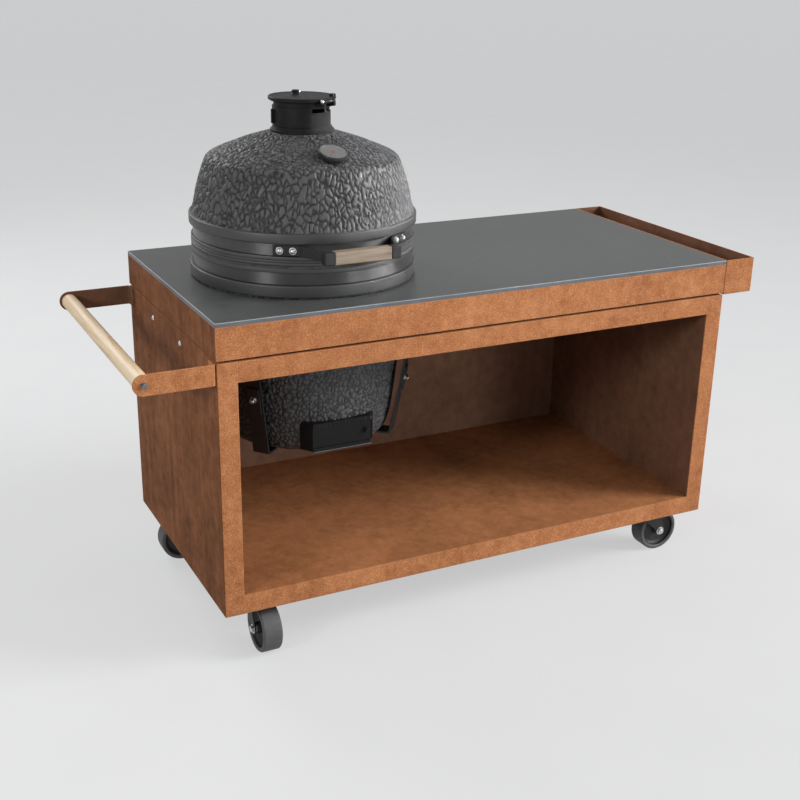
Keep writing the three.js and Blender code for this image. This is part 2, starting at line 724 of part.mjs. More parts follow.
// Moves a shape made about the vertical axis to the thermometer's axis.
function onGaugeAxis(geometry) {
  geometry.rotateX(gaugeSeat.tilt);
  geometry.translate(0, -gaugeSeat.radius, gaugeSeat.height);
  return geometry;
}

function addDome() {
  const shareOfWall = 1 - kamado.wall / rimRadius;
  const shareOfCrown = 1 - kamado.floor / domeRise;
  const inner = domeOuter
    .map(([r, z]) => [r * shareOfWall, domeRimTop + (z - domeRimTop) * shareOfCrown])
    .filter(([r], i) => r > flueRadius && i % 2 === 1)
    .reverse();
  const bandTop = domeBandBottom + band.height + 2 * fit;
  const outline = [
    [lipRadius - kamado.wall, domeBottom], [lipRadius, domeBottom],
    [lipRadius, domeBandBottom - fit], [bandSeat - fit, domeBandBottom - fit],
    [bandSeat - fit, bandTop], [rimRadius, bandTop], [rimRadius, domeRimTop],
    ...domeOuter, [flueRadius, kamado.crownHeight],
    [flueRadius, inner[0][1]], ...inner,
  ];
  const pocket = ring(0, gauge.collar + fit, -gauge.seat, gauge.lift, sides.bar);
  const stemHole = ring(
    0, gauge.stem + gauge.holeClearance, -2 * kamado.floor, gauge.lift, sides.small,
  );
  const shell = cut(turned(outline, sides.kamado), onGaugeAxis(pocket), onGaugeAxis(stemHole));
  addPiece(lidParts, 'dome', shell, finishes.ceramic);
  const sealOuter = lipRadius - fit;
  const seal = ring(
    sealOuter - sealWidth, sealOuter, domeBottom - bowlRim.seal, domeBottom, sides.kamado,
  );
  addPiece(lidParts, 'dome_gasket', seal, finishes.felt);
  const strap = ring(
    bandSeat, bandRadius, domeBandBottom, domeBandBottom + band.height, sides.kamado,
  );
  addPiece(lidParts, 'dome_band', strap, finishes.blackSteel);
}

// Hinge: ears on the bowl's band carry a pin, and the dome's ears turn on it.
const pivot = [rimRadius + hinge.reach, seam];

function hingeEar(bandBottom, inner, outer, bore) {
  const face = bandRadius + fit;
  const boss = arc(hinge.boss, -90, 90, sides.small / 2, pivot);
  const bandTop = bandBottom + band.height;
  const lipFace = lipRadius + fit;
  const outline = [
    ...boss, [lipFace, bandTop], [face, bandTop], [face, bandBottom], [lipFace, bandBottom],
  ];
  const ear = prism(outline, 'x', inner, outer);
  return cut(ear, prism(circle(bore, sides.small, pivot), 'x', inner - overrun, outer + overrun));
}

function addHinge() {
  const face = bandRadius + fit;
  const pinBore = around(hinge.pin + fit / 2, sides.small);
  const foot = (bandBottom, half) => block(
    [-half, face, bandBottom], [half, face + hinge.foot, bandBottom + band.height],
  );
  const earPair = (bandBottom, inner) => [inner, -inner - hinge.ear].map((start) => (
    hingeEar(bandBottom, start, start + hinge.ear, pinBore)
  ));
  const lower = join(
    foot(bowlRim.bandBottom, hinge.footHalf),
    ...earPair(bowlRim.bandBottom, hinge.halfSpan - hinge.ear),
  );
  addPiece(kamadoGroup, 'hinge_bowl_bracket', lower, finishes.blackSteel);
  const lidInner = hinge.halfSpan - 2 * hinge.ear - fit;
  const upper = join(
    foot(domeBandBottom, hinge.footHalf),
    ...earPair(domeBandBottom, lidInner),
  );
  addPiece(lidParts, 'hinge_dome_bracket', upper, finishes.blackSteel);
  const pinEnd = hinge.halfSpan + hinge.pinOverhang;
  const pin = prism(circle(hinge.pin, sides.small, pivot), 'x', -pinEnd, pinEnd);
  addPiece(kamadoGroup, 'hinge_pin', pin, finishes.stainless);
}

// Lid handle: two bent arms on the dome's band hold a wooden grip.
function addLidHandle() {
  const footHalfSpan = THREE.MathUtils.degToRad((arm.footStart - arm.footEnd) / 2);
  const footRadius = (bandRadius + fit) / Math.cos(footHalfSpan);
  const front = -(rimRadius + grip.standoff);
  const gripBottom = grip.height0;
  const gripTop = gripBottom + grip.height;
  const armBottom = gripTop - arm.height;
  const capEnd = grip.length / 2 + grip.cap;
  for (const [name, side] of [['left', -1], ['right', 1]]) {
    const path = [
      polar(footRadius, -90 + side * arm.footStart),
      polar(footRadius, -90 + side * arm.footEnd),
      [side * capEnd, front + grip.depth],
      [side * capEnd, front],
    ];
    const strap = prism(strip(path, side * arm.plate), 'z', armBottom, gripTop);
    const [inner, outer] = [grip.length / 2 + fit, capEnd + arm.plate / 2].map((x) => side * x);
    const end = block(
      [Math.min(inner, outer), front, gripBottom],
      [Math.max(inner, outer), front + grip.depth, gripTop],
    );
    addPiece(lidParts, `lid_arm_${name}`, join(strap, end), finishes.blackSteel);
  }
  const wood = block(
    [-grip.length / 2, front, gripBottom],
    [grip.length / 2, front + grip.depth, gripTop],
  );
  addPiece(lidParts, 'lid_grip', wood, finishes.oiledWood);
}

// Chimney: a slotted iron tower, a sleeve that closes its slots and a hinged cap.
const chimney = addGroup(lidParts, [0, 0, kamado.crownHeight + fit], tower.turn);

function sector(inner, outer, from, to, bottom, top) {
  const steps = Math.ceil(((to - from) / 360) * sides.tower);
  const outline = [...arc(outer, from, to, steps), ...arc(inner, to, from, steps)];
  return prism(outline, 'z', bottom, top);
}

function addTower() {
  const { radius, wall, height, collarHeight } = tower;
  const collar = radius + tower.collarLip;
  const shell = turned([
    [flueRadius, 0], [collar, 0], [collar, collarHeight / 2], [radius + wall / 2, collarHeight],
    [radius, collarHeight], [radius, height], [radius - wall, height],
    [radius - wall, collarHeight], [flueRadius, collarHeight / 2],
  ], sides.tower);
  const slotTop = height - tower.slotDrop;
  const slots = Array.from({ length: tower.slotCount }, (_, i) => {
    const from = tower.firstSlot + i * tower.slotPitch;
    return sector(
      radius - wall * 2, radius + wall, from, from + tower.slotSpan,
      slotTop - tower.slotHeight, slotTop,
    );
  });
  const { halfWidth, ear, boss } = capHinge;
  const axisHeight = height + capHinge.height;
  const cheekInner = capRadius + capHinge.clearance;
  const outer = capHingeReach + boss;
  const cheek = [
    [radius - wall / 2, height - capHinge.rootDrop], [outer, height - boss],
    [outer, axisHeight], [capHingeReach, axisHeight + boss], [cheekInner, axisHeight + boss],
    [cheekInner, height - fit], [radius - wall / 2, height - fit],
  ];
  const boreRadius = around(capHinge.pin + fit / 2, sides.small);
  const bore = circle(boreRadius, sides.small, [capHingeReach, axisHeight]);
  const cheeks = [halfWidth - ear, -halfWidth].map((start) => cut(
    prism(cheek, 'y', start, start + ear),
    prism(bore, 'y', start - overrun, start + ear + overrun),
  ));
  addPiece(chimney, 'chimney_tower', join(cut(shell, ...slots), ...cheeks), finishes.iron);
}

function addSleeve() {
  const inner = tower.radius + sleeve.clearance;
  const outer = inner + sleeve.wall;
  const top = tower.height - sleeve.drop;
  const bottom = top - sleeve.height;
  const [from, to] = [sleeve.middle - sleeve.span / 2, sleeve.middle + sleeve.span / 2];
  const shell = sector(inner, outer, from, to, bottom, top);
  const tabBottom = (bottom + top - sleeve.tabHeight) / 2;
  const tab = sector(
    outer - sleeve.wall / 2, outer + sleeve.tab,
    sleeve.middle - sleeve.tabSpan / 2, sleeve.middle + sleeve.tabSpan / 2,
    tabBottom, tabBottom + sleeve.tabHeight,
  );
  addPiece(chimney, 'chimney_sleeve', join(shell, tab), finishes.iron);
}

function addCap() {
  const bottom = tower.height + fit;
  const top = bottom + cap.thickness;
  const { pin, halfWidth, ear, boss } = capHinge;
  const axisHeight = tower.height + capHinge.height;
  const disc = turned([
    [0, bottom], [capRadius - cap.skirt, bottom], [capRadius, bottom + cap.skirt],
    [capRadius, top - cap.skirt / 2], [capRadius - cap.skirt / 2, top], [0, top],
  ], sides.tower);
  const knob = prism(
    circle(cap.knob, sides.bar, [-cap.knobAt, 0]), 'z', top - cap.skirt, top + cap.knobHeight,
  );
  const tongueHalf = halfWidth - ear - fit;
  const tongueOutline = [
    [capRadius - cap.tongueRoot, bottom + fit], [capHingeReach, axisHeight - boss + fit],
    [capHingeReach + boss - fit, axisHeight], [capHingeReach, axisHeight + boss - fit],
    [capRadius - cap.tongueRoot, top - fit],
  ];
  const boreRadius = around(pin + fit / 2, sides.small);
  const bore = circle(boreRadius, sides.small, [capHingeReach, axisHeight]);
  const tongue = cut(
    prism(tongueOutline, 'y', -tongueHalf, tongueHalf),
    prism(bore, 'y', -halfWidth, halfWidth),
  );
  addPiece(chimney, 'chimney_cap', join(disc, knob, tongue), finishes.iron);
  const pinHalf = halfWidth + pin;
  const rod = prism(circle(pin, sides.small, [capHingeReach, axisHeight]), 'y', -pinHalf, pinHalf);
  addPiece(chimney, 'cap_hinge_pin', rod, finishes.stainless);
}

// Thermometer: a round case on a stem through the dome, with a turning needle.
function addThermometer() {
  const { radius, thickness, lip, recess, collar, lift, stem, stemLength } = gauge;
  const face = lift + thickness;
  const dial = face - recess;
  const body = turned([
    [0, -stemLength], [stem, -stemLength], [stem, fit - gauge.seat],
    [collar, fit - gauge.seat], [collar, lift],
    [radius, lift], [radius, face], [radius - lip, face], [radius - lip, dial],
    [needle.pivot, dial], [needle.pivot, face - lip / 2], [0, face - lip / 2],
  ], sides.bar);
  addPiece(lidParts, 'thermometer_case', onGaugeAxis(body), finishes.blackSteel);
  const bottom = dial + fit;
  const pointer = [
    [-needle.width / 2, 0], [needle.width / 2, 0], [0, needle.length],
  ];
  const hubHole = circle(needle.pivot + fit / 2, sides.small);
  const hand = cut(
    join(
      prism(circle(needle.hub, sides.small), 'z', bottom, bottom + needle.thickness),
      prism(pointer, 'z', bottom, bottom + needle.thickness),
    ),
    prism(hubHole, 'z', bottom - overrun, bottom + overrun),
  );
  hand.rotateZ(THREE.MathUtils.degToRad(needle.restAngle));
  addPiece(lidParts, 'thermometer_needle', onGaugeAxis(hand), finishes.red);
}

addWorktop();
addAprons();
addDeck();
addTray();
addSidePanel('left', 0, 1);
addSidePanel('right', worktop.length, -1);
addFloor();
addBackAndRail();
addPushHandle();
addCasters();
addBowl();
addFireParts();
addHangers();
addDraftDoor();
addDome();
addHinge();
addLidHandle();
addTower();
addSleeve();
addCap();
addThermometer();

// The part's origin is on the floor, under the middle of its length and depth.
const leftEnd = -pushBar.reach - bracket.height / 2;
const rightEnd = worktop.length + tray.width;
table.position.set(-(leftEnd + rightEnd) / 2, -worktop.depth / 2, 0);

const part = new THREE.Group();
part.add(table);

export default part;
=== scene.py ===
"""The looks of a kamado grill that hangs in a wheeled table of weathered steel."""

import logging
import math
from dataclasses import dataclass, field
from enum import Enum
from typing import Callable, ClassVar, Iterable, Sequence

import bmesh
import bpy
from bmesh.types import BMEdge, BMFace, BMVert
from mathutils import Matrix, Vector, noise


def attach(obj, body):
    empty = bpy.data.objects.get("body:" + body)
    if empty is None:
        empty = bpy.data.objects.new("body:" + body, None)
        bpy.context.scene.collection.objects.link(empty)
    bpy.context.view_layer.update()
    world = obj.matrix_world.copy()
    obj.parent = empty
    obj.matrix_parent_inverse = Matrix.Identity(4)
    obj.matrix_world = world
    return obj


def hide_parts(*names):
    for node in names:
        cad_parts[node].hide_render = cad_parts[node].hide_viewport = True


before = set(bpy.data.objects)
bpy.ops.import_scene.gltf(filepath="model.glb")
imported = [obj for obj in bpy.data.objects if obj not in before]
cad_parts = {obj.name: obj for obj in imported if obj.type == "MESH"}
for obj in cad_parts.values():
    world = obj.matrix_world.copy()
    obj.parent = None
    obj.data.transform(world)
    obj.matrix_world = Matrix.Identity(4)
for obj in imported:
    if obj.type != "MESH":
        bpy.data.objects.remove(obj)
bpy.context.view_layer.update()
log = logging.getLogger("kamado_table")

Colour = tuple[float, float, float, float]
Outline = list[tuple[float, float]]
Place = tuple[float, float, float]
Socket = bpy.types.NodeSocket


class Slot(Enum):
    """The material slots of the record."""

    RUST = "weathered_steel"
    STONE = "stone"
    BLACK = "black_steel"
    CERAMIC = "kamado_ceramic"
    CLAY = "fireclay"
    IRON = "iron"
    STEEL = "stainless"
    FELT = "felt"
    ASH = "ash"
    WOOD = "oiled_wood"
    RUBBER = "grey_rubber"
    RED = "needle_red"


class Body(Enum):
    """The bodies that the pieces ride on, apart from the casters'."""

    TABLE = "table"
    LID = "lid"
    SLEEVE = "chimney_sleeve"
    CAP = "chimney_cap"
    DOOR = "draft_door"


class Axis(Enum):
    """The main directions, as unit vectors."""

    X = (1.0, 0.0, 0.0)
    Y = (0.0, 1.0, 0.0)
    Z = (0.0, 0.0, 1.0)


def shade(red: int, green: int, blue: int) -> Colour:
    """Turns display values from 0 to 255 into the linear colour of a shader.

    Args:
        red: The red value.
        green: The green value.
        blue: The blue value.

    Returns:
        The colour with full alpha.
    """
    parts = [value / 255 for value in (red, green, blue)]
    linear = [v / 12.92 if v <= 0.04045 else ((v + 0.055) / 1.055) ** 2.4 for v in parts]
    return (linear[0], linear[1], linear[2], 1.0)


def at(x: float, y: float, z: float, turn: float = 0.0) -> Matrix:
    """A place in millimetres, turned about the vertical by degrees."""
    return Matrix.Translation((x, y, z)) @ Matrix.Rotation(math.radians(turn), 4, "Z")


# The table's main sizes and the grill's rim, in millimetres.
LENGTH = 1440
DEPTH = 718
TOP = 885
RIM_RADIUS = 285

# The frames that the pieces are drawn in, in millimetres, each taken to the scene in metres.
METRES = Matrix.Scale(0.001, 4)
TABLE = METRES @ at(-672, -DEPTH / 2, 0)
GRILL = METRES @ at(-312, 0, TOP)
CHIMNEY = GRILL @ at(0, 0, 351.3, -68)
GAUGE = GRILL @ at(0, -185, 316.5) @ Matrix.Rotation(math.radians(20.79), 4, "X")


class Graph:
    """A material's nodes, built up by short calls around one Principled shader."""

    def __init__(self, name: str) -> None:
        """Starts the material with a shader and the object's own coordinates.

        Args:
            name: The material's name.
        """
        self.material = bpy.data.materials.new(name)
        self.material.use_nodes = True
        self.nodes = self.material.node_tree.nodes
        self.links = self.material.node_tree.links
        self.nodes.clear()
        self.shader = self.nodes.new("ShaderNodeBsdfPrincipled")
        output = self.nodes.new("ShaderNodeOutputMaterial")
        self.links.new(self.shader.outputs[0], output.inputs["Surface"])
        self.place = self.nodes.new("ShaderNodeTexCoord").outputs["Object"]

    def join(self, source: Socket | float | Colour, target: Socket) -> None:
        """Links a socket, or writes a plain value, to a target socket.

        Args:
            source: The socket or the value.
            target: The input that takes it.
        """
        if isinstance(source, bpy.types.NodeSocket):
            self.links.new(source, target)
        else:
            target.default_value = source

    def stretched(self, scale: Place) -> Socket:
        """The object's coordinates, scaled.

        Args:
            scale: The scale along each axis.

        Returns:
            The coordinates.
        """
        node = self.nodes.new("ShaderNodeMapping")
        node.inputs["Scale"].default_value = scale
        self.join(self.place, node.inputs["Vector"])
        return node.outputs[0]

    def grain(self, scale: float, detail: float = 3, rough: float = 0.55, place: Socket | None = None,
              warp: float = 0) -> Socket:
        """Smooth noise.

        Args:
            scale: Patches a metre.
            detail: Octaves.
            rough: How much each octave adds.
            place: Coordinates, or the object's own.
            warp: Distortion.

        Returns:
            The value socket.
        """
        node = self.nodes.new("ShaderNodeTexNoise")
        for name, value in (("Scale", scale), ("Detail", detail), ("Roughness", rough), ("Distortion", warp)):
            node.inputs[name].default_value = value
        self.join(place or self.place, node.inputs["Vector"])
        return node.outputs["Fac"]

    def ramp(self, value: Socket, *stops: tuple[float, Colour]) -> Socket:
        """Turns a value into a colour.

        Args:
            value: The value.
            stops: Positions from 0 to 1, each with its colour.

        Returns:
            The colour.
        """
        node = self.nodes.new("ShaderNodeValToRGB")
        marks = node.color_ramp.elements
        while len(marks) < len(stops):
            marks.new(0.5)
        for mark, (position, _) in zip(marks, stops):
            mark.position = position
        for mark, (_, tint) in zip(marks, stops):
            mark.color = tint
        self.join(value, node.inputs["Fac"])
        return node.outputs["Color"]

    def span(self, value: Socket, low: float, high: float, start: float = 0, end: float = 1) -> Socket:
        """Maps one range of a value to another, and holds it inside.

        Args:
            value: The value.
            low: Where the range starts.
            high: Where it ends.
            start: The result at low.
            end: The result at high.

        Returns:
            The mapped value.
        """
        node = self.nodes.new("ShaderNodeMapRange")
        for name, number in (("From Min", low), ("From Max", high), ("To Min", start), ("To Max", end)):
            node.inputs[name].default_value = number
        self.join(value, node.inputs["Value"])
        return node.outputs[0]

    def mix(self, share: Socket | float, first: Socket | Colour, second: Socket | Colour) -> Socket:
        """Mixes two colours.

        Args:
            share: How much of the second colour shows, from 0 to 1.
            first: The first colour.
            second: The second colour.

        Returns:
            The mixed colour.
        """
        node = self.nodes.new("ShaderNodeMix")
        node.data_type = "RGBA"
        self.join(share, node.inputs[0])
        self.join(first, node.inputs[6])
        self.join(second, node.inputs[7])
        return node.outputs[2]

    def cover(self, base: Socket | Colour, tint: Socket | Colour, value: Socket, low: float, high: float,
              share: float = 1) -> Socket:
        """Lays up to a share of a tint over a colour, where a value goes from low to high."""
        return self.mix(self.span(value, low, high, 0, share), base, tint)

    def reckon(self, way: str, first: Socket | float, second: Socket | float) -> Socket:
        """Joins two values.

        Args:
            way: The operation of the Math node.
            first: The first value.
            second: The second value.

        Returns:
            The result.
        """
        node = self.nodes.new("ShaderNodeMath")
        node.operation = way
        self.join(first, node.inputs[0])
        self.join(second, node.inputs[1])
        return node.outputs[0]

    def sum(self, first: Socket | float, second: Socket | float) -> Socket:
        """The sum of two values."""
        return self.reckon("ADD", first, second)

    def times(self, first: Socket | float, second: Socket | float) -> Socket:
        """The product of two values."""
        return self.reckon("MULTIPLY", first, second)

    def own(self, name: str) -> Socket:
        """A value that the piece's mesh carries.

        Args:
            name: The mesh's layer.

        Returns:
            The value.
        """
        node = self.nodes.new("ShaderNodeAttribute")
        node.attribute_name = name
        return node.outputs["Fac"]

    def edges(self, radius: float) -> tuple[Socket, Socket]:
        """Finds the piece's edges.

        Args:
            radius: How far from an edge it reaches, in metres.

        Returns:
            The rounded normal, and a value that is 1 on an edge and 0 on a flat.
        """
        soft = self.nodes.new("ShaderNodeBevel")
        soft.samples = 4
        soft.inputs["Radius"].default_value = radius
        turned = self.nodes.new("ShaderNodeVectorMath")
        turned.operation = "DOT_PRODUCT"
        geometry = self.nodes.new("ShaderNodeNewGeometry")
        self.join(soft.outputs[0], turned.inputs[0])
        self.join(geometry.outputs["Normal"], turned.inputs[1])
        flat, sharp = 0.995, 0.8
        return soft.outputs[0], self.span(turned.outputs["Value"], flat, sharp)

    def bump(self, height: Socket, depth: float, strength: float = 1, normal: Socket | None = None) -> Socket:
        """Tilts the surface.

        Args:
            height: The height, from 0 to 1.
            depth: What a height of 1 is, in metres.
            strength: How much of the tilt is used.
            normal: The normal to start from, or the surface's own.

        Returns:
            The tilted normal.
        """
        node = self.nodes.new("ShaderNodeBump")
        node.inputs["Strength"].default_value = strength
        node.inputs["Distance"].default_value = depth
        self.join(height, node.inputs["Height"])
        if normal is not None:
            self.join(normal, node.inputs["Normal"])
        return node.outputs[0]

    def upright(self, amount: float) -> None:
        """Stretches the shader's highlights up and down, as on rolled steel.

        Args:
            amount: The anisotropy, from 0 to 1.
        """
        line = self.nodes.new("ShaderNodeCombineXYZ")
        line.inputs["Z"].default_value = 1
        self.join(line.outputs[0], self.shader.inputs["Tangent"])
        self.shader.inputs["Anisotropic"].default_value = amount

    def done(self, colour: Socket | Colour, rough: Socket | float, normal: Socket | None = None,
             **values: float | Colour) -> bpy.types.Material:
        """Feeds the shader.

        Args:
            colour: The base colour.
            rough: The roughness.
            normal: The normal, or the surface's own.
            values: Plain values of other sockets, by their names in small letters.

        Returns:
            The finished material.
        """
        self.join(colour, self.shader.inputs["Base Color"])
        self.join(rough, self.shader.inputs["Roughness"])
        if normal is not None:
            self.join(normal, self.shader.inputs["Normal"])
        for name, value in values.items():
            self.shader.inputs[name.replace("_", " ").title().replace("Ior", "IOR")].default_value = value
        self.material.diffuse_color = (0.5, 0.5, 0.5, 1)
        return self.material


@dataclass(frozen=True)
class Finish:
    """A surface finish, whose material is made once and shared by its pieces."""

    name: str
    slot: Slot
    made: ClassVar[dict[str, bpy.types.Material]] = {}

    def material(self) -> bpy.types.Material:
        """Makes the material when it is first asked for.

        Returns:
            The finish's material.
        """
        if self.name not in self.made:
            self.made[self.name] = self.build(Graph(self.name))
        return self.made[self.name]

    def build(self, g: Graph) -> bpy.types.Material:
        """Makes the material from an empty graph."""
        raise NotImplementedError


@dataclass(frozen=True)
class Rust(Finish):
    """Weathered steel: brown and orange clouds under a dense pale speckle, faint runs, and a painted highlight along
    its edges and bends.
    """

    deep: Colour = shade(156, 94, 56)
    middle: Colour = shade(176, 110, 68)
    pale: Colour = shade(195, 128, 82)
    fleck_and_edge_highlight: Colour = shade(236, 172, 120)
    pit: Colour = shade(112, 60, 38)
    flecks: float = 0.95
    runs: float = 0.25

    def build(self, g: Graph) -> bpy.types.Material:
        """Makes the material.

        Args:
            g: An empty graph.

        Returns:
            The material.
        """
        clouds = g.grain(5.5, 5, 0.6, warp=0.4)
        patches = g.grain(38, 4, 0.62)
        run = g.grain(1, 3, 0.5, g.stretched((34, 34, 2.2)))
        level = g.sum(g.times(clouds, 0.55), g.times(patches, 0.45))
        level = g.sum(level, g.times(g.sum(run, -0.5), self.runs))
        base = g.ramp(level, (0.34, self.deep), (0.5, self.middle), (0.66, self.pale))
        fine = g.grain(430, 4, 0.8)
        dots = g.times(g.span(fine, 0.46, 0.68, 0, self.flecks), g.span(patches, 0.3, 0.62, 0.5, 1))
        base = g.mix(dots, base, self.fleck_and_edge_highlight)
        pits = g.span(g.grain(380, 3, 0.75), 0.44, 0.3)
        base = g.mix(g.times(pits, self.flecks * 0.6), base, self.pit)
        normal, edge = g.edges(0.0022)
        # Paler along every edge and bend: a painted highlight, laid on in the fleck colour.
        base = g.mix(g.times(edge, 0.35), base, self.fleck_and_edge_highlight)
        rough = g.span(level, 0.3, 0.7, 0.92, 0.72)
        height = g.sum(fine, g.times(patches, 0.8))
        return g.done(base, rough, g.bump(height, 0.0006, 0.55, normal), specular_ior_level=0.22)


@dataclass(frozen=True)
class Slab(Finish):
    """Sintered stone: mid grey with lighter clouds and a very fine grain."""

    dark: Colour = shade(61, 62, 62)
    middle: Colour = shade(69, 70, 70)
    pale: Colour = shade(80, 82, 82)
    grit: Colour = shade(150, 152, 152)

    def build(self, g: Graph) -> bpy.types.Material:
        """Makes the material.

        Args:
            g: An empty graph.

        Returns:
            The material.
        """
        clouds = g.grain(3.2, 6, 0.62, warp=0.9)
        wisps = g.grain(9, 6, 0.6, warp=1.6)
        level = g.sum(g.times(clouds, 0.6), g.times(wisps, 0.4))
        base = g.ramp(level, (0.36, self.dark), (0.5, self.middle), (0.62, self.pale))
        fine = g.grain(900, 2, 0.7)
        base = g.cover(base, self.grit, fine, 0.4, 0.7, 0.16)
        rough = g.span(level, 0.35, 0.65, 0.33, 0.45)
        return g.done(base, rough, g.bump(g.sum(fine, g.times(wisps, 0.5)), 0.0002, 0.5), specular_ior_level=0.3)


@dataclass(frozen=True)
class Glaze(Finish):
    """Matt glazed ceramic: its mesh says how deep each crack of the relief is, and the cracks carry painted shade and
    the pebbles' tops a painted highlight.
    """

    crack: Colour = shade(12, 12, 13)
    body: Colour = shade(60, 60, 61)
    crest_highlight: Colour = shade(86, 86, 88)
    haze: Colour = shade(84, 84, 84)
    grit: Colour = shade(118, 118, 118)

    def build(self, g: Graph) -> bpy.types.Material:
        """Makes the material.

        Args:
            g: An empty graph.

        Returns:
            The material.
        """
        # From the relief's depth: painted shade in the cracks and a painted highlight on the pebbles' tops.
        base = g.ramp(g.own("relief"), (0.08, self.crack), (0.62, self.body), (1.0, self.crest_highlight))
        clouds = g.grain(14, 4, 0.6)
        base = g.cover(base, self.haze, clouds, 0.35, 0.68, 0.2)
        fine = g.grain(1100, 2, 0.6)
        base = g.cover(base, self.grit, fine, 0.55, 0.75, 0.25)
        rough = g.span(clouds, 0.3, 0.7, 0.4, 0.52)
        height = g.sum(fine, g.grain(260, 3, 0.6))
        return g.done(base, rough, g.bump(height, 0.0004, 0.45), specular_ior_level=0.4)


@dataclass(frozen=True)
class BareClay(Finish):
    """Unglazed fireclay with sand in it and soot from the fire."""

    clean: Colour = shade(196, 182, 160)
    worn: Colour = shade(168, 150, 126)
    soot: Colour = shade(74, 66, 60)
    sand: Colour = shade(222, 212, 194)
    sooty: float = 0.45

    def build(self, g: Graph) -> bpy.types.Material:
        """Makes the material.

        Args:
            g: An empty graph.

        Returns:
            The material.
        """
        patches = g.grain(16, 5, 0.62, warp=0.5)
        fine = g.grain(700, 3, 0.7)
        base = g.cover(self.clean, self.worn, patches, 0.35, 0.65)
        smoke = g.span(g.grain(6, 5, 0.65, warp=0.8), 0.62 - self.sooty * 0.5, 0.8 - self.sooty * 0.35)
        base = g.mix(g.times(smoke, 0.85), base, self.soot)
        base = g.cover(base, self.sand, fine, 0.55, 0.75, 0.3)
        return g.done(base, g.span(smoke, 0, 1, 0.94, 0.8), g.bump(g.sum(fine, patches), 0.0006, 0.6))


@dataclass(frozen=True)
class SatinBlack(Finish):
    """Powder-coated steel: a satin film with a fine orange peel, dust and paler edges."""

    coat: Colour = shade(30, 30, 31)
    dust: Colour = shade(44, 43, 43)
    worn: Colour = shade(116, 115, 114)
    gloss: float = 0.38
    shine: float = 0.4
    drawn: float = 0.0

    def build(self, g: Graph) -> bpy.types.Material:
        """Makes the material.

        Args:
            g: An empty graph.

        Returns:
            The material.
        """
        base = g.cover(self.coat, self.dust, g.grain(18, 4, 0.6), 0.42, 0.7, 0.5)
        normal, edge = g.edges(0.0012)
        wear = g.times(edge, g.span(g.grain(90, 3, 0.6), 0.35, 0.6))
        base = g.mix(g.times(wear, 0.45), base, self.worn)
        rough = g.span(g.grain(60, 3, 0.6), 0.3, 0.7, self.gloss, self.gloss + 0.14)
        peel = g.bump(g.grain(520, 2, 0.5), 0.00025, 0.3, normal)
        if self.drawn:
            g.upright(self.drawn)
        return g.done(base, rough, peel, specular_ior_level=self.shine)


@dataclass(frozen=True)
class CastIron(Finish):
    """Bare cast iron: dark, grainy, with a little brown bloom."""

    base: Colour = shade(58, 57, 57)
    bloom: Colour = shade(92, 74, 60)
    grit: Colour = shade(96, 95, 94)

    def build(self, g: Graph) -> bpy.types.Material:
        """Makes the material.

        Args:
            g: An empty graph.

        Returns:
            The material.
        """
        patches = g.grain(45, 4, 0.65)
        tint = g.cover(self.base, self.bloom, patches, 0.5, 0.75, 0.6)
        sand = g.grain(600, 3, 0.7)
        tint = g.cover(tint, self.grit, sand, 0.5, 0.8, 0.4)
        return g.done(tint, g.span(patches, 0.3, 0.7, 0.6, 0.8), g.bump(sand, 0.0006, 0.7), metallic=0.3)


@dataclass(frozen=True)
class BrightSteel(Finish):
    """Stainless steel: brushed a little, with finger marks."""

    tone: Colour = shade(205, 206, 208)
    mark: Colour = shade(168, 168, 170)
    gloss: float = 0.2

    def build(self, g: Graph) -> bpy.types.Material:
        """Makes the material.

        Args:
            g: An empty graph.

        Returns:
            The material.
        """
        marks = g.grain(160, 3, 0.6)
        brushed = g.grain(1, 2, 0.5, g.stretched((260, 2200, 2200)))
        tint = g.cover(self.tone, self.mark, marks, 0.4, 0.7, 0.35)
        rough = g.span(marks, 0.3, 0.7, self.gloss, self.gloss + 0.16)
        return g.done(tint, rough, g.bump(brushed, 0.00008, 0.3), metallic=1.0)


@dataclass(frozen=True)
class Felt(Finish):
    """Pressed felt: short fibres, dark with age."""

    base: Colour = shade(66, 64, 62)
    fibre: Colour = shade(112, 108, 103)
    aged: Colour = shade(42, 40, 38)

    def build(self, g: Graph) -> bpy.types.Material:
        """Makes the material.

        Args:
            g: An empty graph.

        Returns:
            The material.
        """
        fibres = g.grain(900, 4, 0.75, warp=1.2)
        patches = g.grain(30, 3, 0.6)
        tint = g.cover(self.base, self.fibre, fibres, 0.35, 0.7, 0.7)
        tint = g.cover(tint, self.aged, patches, 0.45, 0.7, 0.5)
        return g.done(tint, g.span(patches, 0, 1, 0.9, 1.0), g.bump(fibres, 0.0012, 0.8), sheen_weight=0.3)


@dataclass(frozen=True)
class Timber(Finish):
    """Solid wood with its grain along one direction."""

    grain_axis: Axis = Axis.Y
    pale: Colour = shade(250, 226, 190)
    dark: Colour = shade(243, 212, 170)
    line: Colour = shade(222, 182, 138)
    rings: float = 70
    pores: float = 2600

    def along(self, count: float, share: float) -> Place:
        """A pattern's scale: so many marks a metre, and only a share of that along the grain."""
        x, y, z = (count * (share if part else 1.0) for part in self.grain_axis.value)
        return (x, y, z)

    def build(self, g: Graph) -> bpy.types.Material:
        """Makes the material.

        Args:
            g: An empty graph.

        Returns:
            The material.
        """
        figure = g.grain(1, 4, 0.55, g.stretched(self.along(self.rings, 0.06)), warp=0.9)
        base = g.ramp(figure, (0.34, self.line), (0.46, self.dark), (0.6, self.pale))
        pore = g.grain(1, 2, 0.6, g.stretched(self.along(self.pores, 0.03)))
        base = g.cover(base, self.line, pore, 0.56, 0.72, 0.35)
        base = g.cover(base, self.pale, g.grain(9, 3, 0.6), 0.4, 0.7, 0.25)
        return g.done(base, g.span(figure, 0.3, 0.7, 0.52, 0.4), g.bump(g.sum(pore, figure), 0.0003, 0.4))


